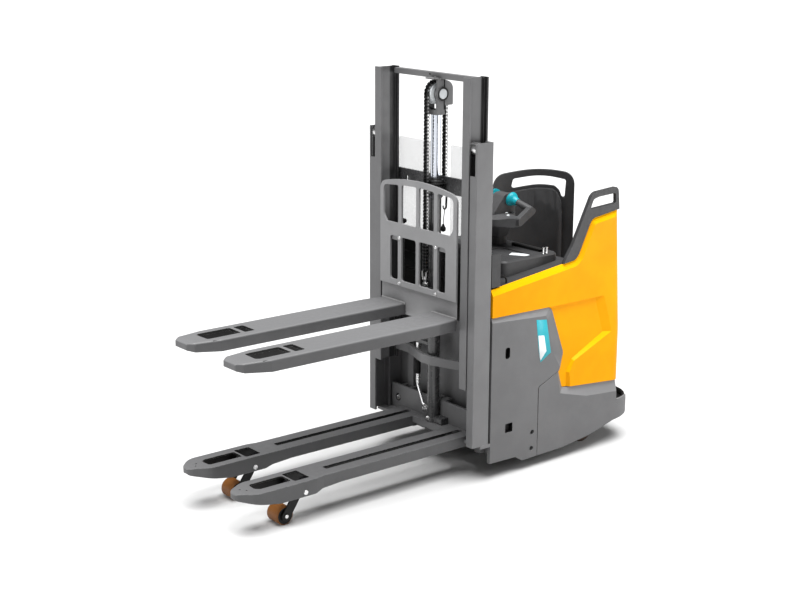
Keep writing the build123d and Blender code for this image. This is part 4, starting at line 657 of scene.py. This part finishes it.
chain_anchor("front_chain_anchor", "carriage", CHAIN_FRONT, FRONT_END, FRONT_NUTS)
chain_anchor("rear_chain_anchor", "load_frame", CHAIN_REAR, REAR_END, REAR_NUTS)


# Mast cylinder: gland, clamps and collar

CYLINDER_X = -87.0
GLAND_FOOT, WIPER_FOOT = 1326, 1357.5
GLAND = [
    (0, 29.3), (0, 36), (2, 38.6), (9, 38.6), (10, 37.6),
    (12, 37.6), (13, 38.6), (24, 38.6), (26, 36), (26, 29.3),
]
WIPER = [(0, 23.4), (0, 31), (5, 29), (7, 25), (7, 23.4)]
TEETH, TOOTH_HEIGHT, TOOTH_REACH, TOOTH_WIDTH = 8, 1344, 36, 8
gland = Piece()
gland.turned((CYLINDER_X, 0, GLAND_FOOT), Z_AXIS, GLAND, sides=40, closed=True)
for index in range(TEETH):
    turn = 2 * math.pi * index / TEETH
    across, around = Vector((math.cos(turn), math.sin(turn), 0)), Vector((-math.sin(turn), math.cos(turn), 0))
    corner = Vector((CYLINDER_X, 0, TOOTH_HEIGHT)) + across * TOOTH_REACH - around * (TOOTH_WIDTH / 2)
    gland.slab(corner, across, Z_AXIS, rounded(4.2, 6, 1), -TOOTH_WIDTH, bevel=0.5)
gland.turned((CYLINDER_X, 0, WIPER_FOOT), Z_AXIS, WIPER, sides=40, closed=True)
gland.finish("gland_ring", "load_frame", BLACK_PAINT, "dark_steel")

CLAMP_HEIGHTS = (1340.0, 1312.0)
CLAMP_RADIUS, CLAMP_BAR = 42, 4.0
CLAMP_BACK_X, CLAMP_NUT_X = -122, -117.8
clamps = Piece()
for height in CLAMP_HEIGHTS:
    bow = arc((CYLINDER_X, 0, height), (0, -1, 0), X_AXIS, CLAMP_RADIUS, 0, 180)
    first, last = [(CLAMP_BACK_X, y, height) for y in (-CLAMP_RADIUS, CLAMP_RADIUS)]
    clamps.bent([first, *bow, last], CLAMP_BAR)
    for y in (-CLAMP_RADIUS, CLAMP_RADIUS):
        clamps.nut((CLAMP_NUT_X, y, height), X_AXIS, height=7, radius=8)
clamps.finish("cylinder_clamps", "load_frame", BLACK_PAINT, "dark_steel")

COLLAR_FOOT, COLLAR_BOLT = 1274, 1282
COLLAR = [(0, 29.2), (0, 33.5), (1.5, 35), (14.5, 35), (16, 33.5), (16, 29.2)]
LUG_X, LUG_SIDES, LUG_PLATE = -47, (-9.5, 3.5), 6
LUG_NUT_X, LUG_NUT_Y = -46, 9.2
collar = Piece()
collar.turned((CYLINDER_X, 0, COLLAR_FOOT), Z_AXIS, COLLAR, sides=36, closed=True)
for y in LUG_SIDES:
    collar.slab((LUG_X, y, COLLAR_BOLT), X_AXIS, Z_AXIS, rounded(8, 8, 2), -LUG_PLATE, bevel=0.8)
collar.nut((LUG_NUT_X, LUG_NUT_Y, COLLAR_BOLT), Y_AXIS, height=6, radius=5)
collar.finish("tube_collar", "load_frame", DARK_STEEL, "dark_steel")


# Hydraulic line: fittings and sleeve

HOSE_X, HOSE_Y = -99.0, -128.0
SWIVEL_FOOT, FERRULE_FOOT = 514, 352
SWIVEL = [(0, 8.5), (2, 11.3), (10, 11.3), (11, 12), (15, 12), (16, 11.3), (40, 11.3), (41, 10)]
FERRULE_RIB, FERRULE_PITCH, FERRULE_RIBS = [(1, 10.6), (6, 10.6), (7, 9.8), (9, 9.8)], 9.0, 5
PORT_HEIGHT, PORT_Y = 246, -46
PORT_NUT_X, PORT_NUT_Y = -88, -62
PORT = [(0, 9), (1.5, 13.4), (12, 13.4), (13, 16), (17, 16)]
BLEED_HEIGHT, BLEED_Y = 216, -3
BLEED_X, BLEED_NUT_X = -61, -54.5
BLEED = [(0, 6), (0.5, 11), (6, 11), (7.5, 9.5)]
fittings = Piece()
fittings.turned((HOSE_X, HOSE_Y, SWIVEL_FOOT), Z_AXIS, SWIVEL)
ferrule = [(0, 8.4), *repeated(FERRULE_RIB, FERRULE_PITCH, FERRULE_RIBS), (46, 8.4)]
fittings.turned((HOSE_X, HOSE_Y, FERRULE_FOOT), Z_AXIS, ferrule)
fittings.nut((PORT_NUT_X, PORT_NUT_Y, PORT_HEIGHT), Y_AXIS, height=13, radius=15.5)
fittings.turned((CYLINDER_X, PORT_Y, PORT_HEIGHT), Y_AXIS, PORT)
fittings.nut((BLEED_NUT_X, BLEED_Y, BLEED_HEIGHT), X_AXIS, height=7, radius=9)
fittings.turned((BLEED_X, BLEED_Y, BLEED_HEIGHT), X_AXIS, BLEED, sides=18)
fittings.finish("hose_fittings", "load_frame", STEEL, "bright_steel")

SLEEVE_FOOT, SLEEVE_HEAD = [(0, 8.4), (2, 11.5), (5, 12.4)], [(62, 11.5), (65, 8.4)]
SLEEVE_RIB, SLEEVE_PITCH, SLEEVE_RIBS, SLEEVE_START = [(0, 12.6), (3, 12.2)], 6.0, 9, 8
sleeve = Piece()
ribbed = repeated(SLEEVE_RIB, SLEEVE_PITCH, SLEEVE_RIBS, SLEEVE_START)
sleeve.turned((HOSE_X, HOSE_Y, PIPE_TOP), Z_AXIS, SLEEVE_FOOT + ribbed + SLEEVE_HEAD)
sleeve.finish("hose_sleeve", "load_frame", RUBBER, "hose")


# Crossbar: knobs, hook, hanging weight and pins

PANE_FRONT, CROSSBAR_FRONT = -132.5, -118.0
KNOB_HEIGHT, KNOB_SIDES = 1116, (-271, -60, 271)
KNOB = [
    (-1, 9.5), (1.5, 9.5), (3, 6.5), (6, 6.5), (7, 11), (9, 13), (12, 13), (14.5, 11.5), (15.5, 8), (16, 3),
]
HOOK = [
    (-126, 36, 1296), (-126, 36, 1250), (-124, 36, 1228),
    (-114, 36, 1220), (-106, 36, 1226), (-104, 36, 1238),
]
CABLE = [(-126, 30, 1296), (-125, 28, 1240), (-121, 22, 1180), (-120, 20, 1140)]
HOOK_RADIUS, CABLE_RADIUS = 3.4, 2.0
WEIGHT_SPOT = (-120, 20, 1111)
WEIGHT = [(0, 3), (3, 9), (6, 12), (16, 13), (22, 11), (27, 7), (34, 5.5), (37, 2.2)]
knobs = Piece()
for y in KNOB_SIDES:
    knobs.turned((PANE_FRONT, y, KNOB_HEIGHT), X_AXIS, KNOB, sides=18)
knobs.bent(eased(HOOK), HOOK_RADIUS)
knobs.bent(eased(CABLE), CABLE_RADIUS, sides=8)
knobs.turned(WEIGHT_SPOT, Z_AXIS, WEIGHT, sides=18)
knobs.finish("pane_knobs", "load_frame", RUBBER, "dark_plastic")

PIN_SIDES, PIN_FOOT, PIN_AHEAD = (-233, 233), 1314, 3.2
PIN = [(0, 1.5), (1.5, 3.4), (22, 3.4), (24, 1.5)]
LOOP_HEIGHTS, LOOP_PLATE = (1315, 1332), 2.4
LOOP_SUNK, LOOP_ASIDE = 0.4, 5
pins = Piece()
for y in PIN_SIDES:
    pins.turned((CROSSBAR_FRONT + PIN_AHEAD, y, PIN_FOOT), Z_AXIS, PIN, sides=12)
    for height in LOOP_HEIGHTS:
        spot = (CROSSBAR_FRONT - LOOP_SUNK, y - LOOP_ASIDE, height)
        pins.slab(spot, Y_AXIS, Z_AXIS, rounded(6, 2.5, 1), LOOP_PLATE, bevel=0.5)
pins.finish("crossbar_pins", "load_frame", STEEL, "bright_steel")


# Pulley head: axle, circlip and cap

AXLE_START, CIRCLIP_START = -44.4, 47.6
AXLE = [(0, 8), (0, 23.7), (90.5, 23.7), (93.4, 22.6), (94.0, 20), (93.4, 18), (93.2, 0.5)]
CIRCLIP = [(0, 23.9), (0, 31), (1.4, 31.6), (2.6, 30.4), (2.6, 23.9)]
axle = Piece()
axle.turned((PULLEY_X, AXLE_START, PULLEY_HEIGHT), Y_AXIS, AXLE, sides=40)
# Axle's steel end painted pale white as a painted reflection of the bright light it shows
axle.finish("pulley_axle", "inner_mast", PALE, "bright_steel")
circlip = Piece()
circlip.turned((PULLEY_X, CIRCLIP_START, PULLEY_HEIGHT), Y_AXIS, CIRCLIP, sides=40, closed=True)
circlip.finish("pulley_circlip", "inner_mast", BLACK_PAINT, "dark_steel")

CAP_X, CAP_Y, CAP_FOOT, CAP_PLATE = -55, 12, 1815, 6
CAP_NUT_X, CAP_NUT_Y = -48, 36
cap = Piece()
cap.slab((CAP_X, CAP_Y, CAP_FOOT), X_AXIS, Y_AXIS, rounded(18, 33, 5), CAP_PLATE, bevel=1.0)
cap.nut((CAP_NUT_X, CAP_NUT_Y, CAP_FOOT + CAP_PLATE), Z_AXIS, height=6, radius=6.5)
cap.finish("head_cap", "inner_mast", GRAY, "frame_paint")


# Carriage: bolts and weld seams

BOLT_FRONT, BOLT_SIDES, BOLT_HEIGHTS = 24, (-130, 130), (858, 1075)
BOLT = [(-6, 8.8), (-4.8, 9.0), (-4.8, 7.6), (-2.4, 7.6), (-0.8, 6.2), (-0.4, 4.4), (-3, 4.2), (-3, 0.4)]
bolts = Piece()
for y in BOLT_SIDES:
    for height in BOLT_HEIGHTS:
        bolts.turned((BOLT_FRONT, y, height), X_AXIS, BOLT, sides=18)
bolts = bolts.finish("guard_bolt_heads", "carriage", STEEL, "bright_steel")
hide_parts("guard_bolts")

SEAM_X = 9.5
TOP_SEAM, TOP_SEAM_HEIGHT = (99, 268), 768.5
SIDE_SEAM, SIDE_SEAM_Y = (761, 768), 98.5
SEAM_RADIUS, SEAM_PASS = 4.2, 2.2
RIPPLE, RIPPLE_TURN = 0.13, 1.9


def weld(piece, start, end):
    """Weld seam along a line, with the ripples of its passes."""
    start, end = Vector(start), Vector(end)
    count = max(4, int((end - start).length / SEAM_PASS))
    points = [start + (end - start) * index / count for index in range(count + 1)]
    radii = [SEAM_RADIUS * (1.0 + RIPPLE * math.sin(index * RIPPLE_TURN)) for index in range(count + 1)]
    piece.bent(points, radii, sides=8)


welds = Piece()
for _, side in SIDES:
    weld(welds, *[(SEAM_X, side * y, TOP_SEAM_HEIGHT) for y in TOP_SEAM])
    weld(welds, *[(SEAM_X, side * SIDE_SEAM_Y, height) for height in SIDE_SEAM])
welds.finish("carriage_welds", "carriage", SEAM_GRAY, "frame_paint")


# Load frame: plugs, pins and wheel hubs

PLUG_X, PLUG_BOLT_X, PLUG_Y, PLUG_HEIGHT = -121, -114.5, 293, 234
PLUG = [(0, 19), (3, 19.6), (6, 18.6), (7, 15)]
plugs, plug_bolts = Piece(), Piece()
for _, side in SIDES:
    plugs.turned((PLUG_X, side * PLUG_Y, PLUG_HEIGHT), X_AXIS, PLUG, sides=28)
    plug_bolts.nut((PLUG_BOLT_X, side * PLUG_Y, PLUG_HEIGHT), X_AXIS, height=8, radius=10.5)
plugs.finish("foot_plugs", "load_frame", BLACK_PAINT, "dark_steel")
plug_bolts.finish("foot_plug_bolts", "load_frame", STEEL, "bright_steel")

PIVOT_X, PIVOT_HEIGHT, PIVOT_ENDS = 850, 148, ((274, 1), (110.5, -1))
HEAD = [
    (-1, 9.6), (1, 10.4), (1.6, 10.4), (2.2, 9.4), (3.0, 9.4), (3.6, 10.4), (4.4, 9.6), (5.0, 6), (5.2, 1),
]
heads = Piece()
for _, side in SIDES:
    for end, way in PIVOT_ENDS:
        heads.turned((PIVOT_X, side * end, PIVOT_HEIGHT), (0, side * way, 0), HEAD, sides=22)
heads.finish("arm_pin_heads", "load_frame", STEEL, "bright_steel")

WHEEL_X, WHEEL_HEIGHT = 921, 42.5
ROCKER_ENDS, WHEEL_ENDS = ((233, 1), (128, -1)), ((220.5, 1), (140.5, -1))
AXLE_CAP = [(-2, 8.6), (0.5, 8.6), (1.4, 7.8), (1.8, 5), (1.0, 4.4), (1.0, 0.4)]
WASHER, WASHER_DEPTH = [(0, 9), (0, 15), (1.6, 15), (2.2, 14), (2.2, 9)], 3
DISC = [
    (-1, 12), (-1, 36.4), (0.6, 36.8), (1.4, 35.6), (1.4, 30), (0.5, 28.5), (0.5, 19), (1.6, 17.5), (1.6, 12),
]
for name, side in SIDES:
    caps, washers, discs = Piece(), Piece(), Piece()
    for end, way in ROCKER_ENDS:
        axis = (0, side * way, 0)
        caps.turned((WHEEL_X, side * end, WHEEL_HEIGHT), axis, AXLE_CAP, sides=18)
        y = side * (end - way * WASHER_DEPTH)
        washers.turned((WHEEL_X, y, WHEEL_HEIGHT), axis, WASHER, sides=24, closed=True)
    for end, way in WHEEL_ENDS:
        discs.turned((WHEEL_X, side * end, WHEEL_HEIGHT), (0, side * way, 0), DISC, sides=36, closed=True)
    discs.finish("load_wheel_discs_" + name, "load_wheel_" + name, BLACK_PAINT, "dark_steel")
    caps.finish("rocker_axle_caps_" + name, "rocker_" + name, STEEL, "bright_steel")
    washers.finish("rocker_washers_" + name, "rocker_" + name, BLACK_PAINT, "dark_steel")


# Steering yoke: round keys on the dish

YOKE_Y, KEY_FOOT = -40.0, 1146
KEY_SPOTS = ((-530, 46), (-496, 93))
KEY = [(-1, 7.6), (1.2, 7.6), (1.8, 6.6), (4.2, 6.2), (5, 5), (4.6, 3.5), (4.6, 0.5)]
keys = Piece()
for x, y in KEY_SPOTS:
    for way in (-1, 1):
        keys.turned((x, YOKE_Y + way * y, KEY_FOOT), Z_AXIS, KEY)
keys.finish("yoke_keys", "steering_wheel", PALE, "bright_steel")


# Drive unit: screen panels, console trim, corner strips and badge

SCREEN_FRONT = -145.0
PANEL_COLUMNS, PANEL_FEET = (-234, -78, 78, 234), (722, 806, 890, 974)
PANEL_HALF_WIDTH, PANEL_HALF_HEIGHT, PANEL_CORNER = 75, 39, 6
PANEL_THICKNESS, PANEL_SUNK = 3.0, 0.5
panels = Piece()
for y in PANEL_COLUMNS:
    for foot in PANEL_FEET:
        spot = (SCREEN_FRONT - PANEL_SUNK, y, foot + PANEL_HALF_HEIGHT)
        outline = rounded(PANEL_HALF_WIDTH, PANEL_HALF_HEIGHT, PANEL_CORNER)
        panels.slab(spot, Y_AXIS, Z_AXIS, outline, PANEL_THICKNESS, bevel=1.0)
panels.finish("screen_panels", "drive_unit", BLACK_PAINT, "dark_steel")

CONSOLE_TOP = 995
BAR_SPOT, LATCH_SPOT = (-545, 135, CONSOLE_TOP), (-612, 338, 962)
HANDLE = [(-172, 338, 944), (-196, 340, 952), (-222, 340, 934), (-226, 338, 908)]
HANDLE_RADIUS = 4.0
console = Piece()
console.slab(BAR_SPOT, Y_AXIS, (-1, 0, 0), rounded(100, 11, 9), thickness=13, bevel=3.0)
console.bent(eased(HANDLE), HANDLE_RADIUS)
console.slab(LATCH_SPOT, X_AXIS, Y_AXIS, rounded(16, 8, 4), thickness=8, bevel=2.0)
console.finish("console_trim", "drive_unit", RUBBER, "dark_plastic")

STEM_ROW, STEM_Y = (-526, -548), 266
STEM = [(-1, 7), (2, 7), (3, 4.4), (22, 4.0), (23, 5.6), (27, 6), (30, 4.6), (31, 1)]
stems = Piece()
for x in STEM_ROW:
    stems.turned((x, STEM_Y, CONSOLE_TOP), Z_AXIS, STEM, sides=16)
stems.finish("console_stems", "drive_unit", STEEL, "bright_steel")

PLATE_SPOT, PLATE_LENGTHWISE, PLATE_ACROSS = (-440, 198, 990), (-0.5, 0.85, 0), (-0.85, -0.5, 0)
plate = Piece()
plate.slab(PLATE_SPOT, PLATE_LENGTHWISE, PLATE_ACROSS, rounded(46, 24, 4), thickness=1.6, bevel=0.5)
plate.finish("console_plate", "drive_unit", PALE, None)

CORNER_X, CORNER_Y, CORNER_FOOT = -948.0, 204.0, 195.6
STRIP_BEVEL = 2
RIM_INNER, RIM_OUTER = 164.5, 171.5
RIM_ANGLES = (90, 100, 110, 120, 130, 140, 150, 156)
RIM_TOPS = (226, 226, 226, 225, 219, 209, 202, 198)
RIB_INNER, RIB_OUTER = 151, 164
RIB_START, RIB_STEP, RIB_STEPS = 92, 0.75, 112
RIB_HEIGHTS = (212, 221)


def corner_strip(piece, side, inner, outer, angles, tops):
    """Strip round a rear corner, with the height of its top at each angle in degrees."""
    rings = []
    for angle, top in zip(angles, tops):
        across, along = math.cos(math.radians(angle)), math.sin(math.radians(angle))
        foot = [(inner, CORNER_FOOT), (outer, CORNER_FOOT)]
        head = [(outer, top - STRIP_BEVEL), (outer - STRIP_BEVEL, top), (inner, top)]
        ring = []
        for radius, height in foot + head:
            ring.append((CORNER_X + radius * across, side * (CORNER_Y + radius * along), height))
        rings.append(ring)
    piece.skin(rings)


rib_angles = [RIB_START + RIB_STEP * index for index in range(RIB_STEPS)]
rib_tops = [RIB_HEIGHTS[index // 2 % 2] for index in range(RIB_STEPS)]
rims, ribs = Piece(), Piece()
for _, side in SIDES:
    corner_strip(rims, side, RIM_INNER, RIM_OUTER, RIM_ANGLES, RIM_TOPS)
    corner_strip(ribs, side, RIB_INNER, RIB_OUTER, rib_angles, rib_tops)
rims.finish("corner_rims", "drive_unit", COVER_GRAY, "frame_paint")
ribs.finish("corner_ribs", "drive_unit", RUBBER, "mat")

COVER_SIDE = 376.0
BADGE_SUNK = 0.1
TEAL_BADGE = [(-386, 721), (-452, 712), (-486, 548), (-419, 511), (-408, 560)]
PALE_BADGE = [(-401, 643), (-438, 638), (-456, 560), (-419, 520), (-414, 534)]
for name, corners, start, thickness, material, slot in (
    ("teal_badge", TEAL_BADGE, 0.0, 0.7, TEAL, "switch"),
    ("pale_badge", PALE_BADGE, 0.7, 0.5, PALE, None),
):
    badge = Piece()
    flat = [(-x, z) for x, z in corners]
    badge.slab((0, COVER_SIDE + start - BADGE_SUNK, 0), (-1, 0, 0), Z_AXIS, flat, thickness, bevel=0.2)
    badge.finish(name, "drive_unit", material, slot)


# Backrest: cushion blown up on its shell

SEAT_X, SEAT_Y = -722.0, -15.0
PAD_BACK, HOLD_DEPTH, HOLD_BLEND = 279.5, 8, 4
REST_FRAME, SWELL_FRAMES = 1, 20
PRESSURE = 4.0

# Lengths of the remesh and the cloth, in metres
VOXEL, SHRINKAGE, SWELL_LIMIT = 0.005, 0.002, 0.009


def applied(piece):
    """Mesh of a piece with its modifiers applied, which are then taken off."""
    mesh = bpy.data.meshes.new_from_object(piece.evaluated_get(bpy.context.evaluated_depsgraph_get()))
    piece.modifiers.clear()
    piece.data = mesh
    return mesh


def swell(piece, start):
    """Blow a cushion up as cloth, by no more than a limit from where its points start."""
    scene = bpy.context.scene
    cloth = piece.modifiers.new("cloth", "CLOTH")
    cloth.settings.use_pressure = True
    cloth.settings.uniform_pressure_force = PRESSURE
    cloth.settings.effector_weights.gravity = 0.0
    cloth.settings.vertex_group_mass = "held"
    for step in range(REST_FRAME, SWELL_FRAMES + 1):
        scene.frame_set(step)
    for vertex, origin in zip(applied(piece).vertices, start):
        move = vertex.co - origin
        if move.length > SWELL_LIMIT:
            vertex.co = origin + move.normalized() * SWELL_LIMIT
    scene.frame_set(REST_FRAME)


def cushion():
    """Backrest cushion, held along its back."""
    piece = bpy.data.objects.new("backrest_cushion", nodes["backrest_pad"].data.copy())
    bpy.context.scene.collection.objects.link(piece)
    remesh = piece.modifiers.new("remesh", "REMESH")
    remesh.mode = "VOXEL"
    remesh.voxel_size = VOXEL
    shrink = piece.modifiers.new("shrink", "DISPLACE")
    shrink.strength = -SHRINKAGE
    shrink.mid_level = 0.0
    start = [vertex.co.copy() for vertex in applied(piece).vertices]
    middle = place(SEAT_X, SEAT_Y, 0)
    held = piece.vertex_groups.new(name="held")
    for index, point in enumerate(start):
        distance = math.hypot(point.x - middle.x, point.y - middle.y) * 1000
        held.add([index], min(1.0, max(0.0, (distance - PAD_BACK + HOLD_DEPTH) / HOLD_BLEND)), "REPLACE")
    swell(piece, start)
    soften = piece.modifiers.new("soften", "SMOOTH")
    soften.factor = 0.5
    soften.iterations = 6
    piece.modifiers.new("finer", "SUBSURF").levels = 1
    mesh = applied(piece)
    mesh.shade_smooth()
    mesh.materials.clear()
    mesh.materials.append(CUSHION)
    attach(piece, "drive_unit")
    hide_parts("backrest_pad")


cushion()


# Stage: floor, lights and the photo's camera

FLOOR_SIZE, FLOOR_GRAY = 400.0, 0.52
WORLD_STRENGTH = 0.15
LIGHTS = (
    ("sky", "SUN", {"energy": 7.6, "angle": 56}, (0.4, 0.7, 5.0), (0.0, 0.0, 0.0)),
    ("front", "AREA", {"energy": 15.0, "size": 1.0}, (2.6, -0.3, 1.0), (0.0, -0.1, 1.0)),
    ("side", "AREA", {"energy": 1.8, "size": 1.0, "spread": 80}, (-0.75, 1.8, 0.9), (-0.75, 0.0, 0.75)),
    ("rear", "AREA", {"energy": 4.0, "size": 0.8, "spread": 90}, (-2.0, 1.7, 1.1), (-0.5, 0.3, 0.75)),
)
IN_DEGREES = ("angle", "spread")
CAMERA_SPOT = (4.2761, 5.1612, 2.5289)
CAMERA_YAW, CAMERA_PITCH, CAMERA_ROLL = -128.993, -14.426, 0.229
SENSOR_WIDTH = 36.0
PHOTO_WIDTH, FOCAL_PIXELS, SHIFT_X_PIXELS, SHIFT_Y_PIXELS = 800, 1501, 0.3, -0.1


def floor_and_world():
    """Pale floor under a dim white world."""
    bpy.ops.mesh.primitive_plane_add(size=FLOOR_SIZE)
    floor = bpy.context.object
    floor.name = "floor"
    shader = Shader("floor")
    shader.set(Base_Color=even(FLOOR_GRAY), Roughness=0.9, Specular_IOR_Level=0.0)
    floor.data.materials.append(shader.material)
    world = bpy.data.worlds.new("studio")
    world.use_nodes = True
    background = world.node_tree.nodes["Background"]
    background.inputs["Color"].default_value = even(1.0)
    background.inputs["Strength"].default_value = WORLD_STRENGTH
    bpy.context.scene.world = world


def lights():
    """Soft lights, each turned to its target."""
    for name, kind, values, spot, target in LIGHTS:
        light = bpy.data.lights.new(name, kind)
        for key, value in values.items():
            setattr(light, key, math.radians(value) if key in IN_DEGREES else value)
        lamp = bpy.data.objects.new(name, light)
        lamp.location = spot
        lamp.rotation_euler = (Vector(target) - Vector(spot)).to_track_quat("-Z", "Y").to_euler()
        bpy.context.scene.collection.objects.link(lamp)


def photo_camera():
    """Camera where the photo was taken from."""
    yaw, pitch, roll = (math.radians(angle) for angle in (CAMERA_YAW, CAMERA_PITCH, CAMERA_ROLL))
    forward = Vector((math.cos(pitch) * math.cos(yaw), math.cos(pitch) * math.sin(yaw), math.sin(pitch)))
    flat_right = forward.cross(Vector(Z_AXIS)).normalized()
    flat_up = flat_right.cross(forward)
    right = math.cos(roll) * flat_right + math.sin(roll) * flat_up
    up = math.cos(roll) * flat_up - math.sin(roll) * flat_right
    camera = bpy.data.objects.new("camera", bpy.data.cameras.new("camera"))
    camera.data.sensor_width = SENSOR_WIDTH
    camera.data.lens = SENSOR_WIDTH * FOCAL_PIXELS / PHOTO_WIDTH
    camera.data.shift_x = SHIFT_X_PIXELS / PHOTO_WIDTH
    camera.data.shift_y = SHIFT_Y_PIXELS / PHOTO_WIDTH
    turn = Matrix((right, up, -forward)).transposed().to_4x4()
    camera.matrix_world = Matrix.Translation(CAMERA_SPOT) @ turn
    bpy.context.scene.collection.objects.link(camera)
    bpy.context.scene.camera = camera


bpy.context.scene.view_settings.view_transform = "Standard"
floor_and_world()
lights()
photo_camera()
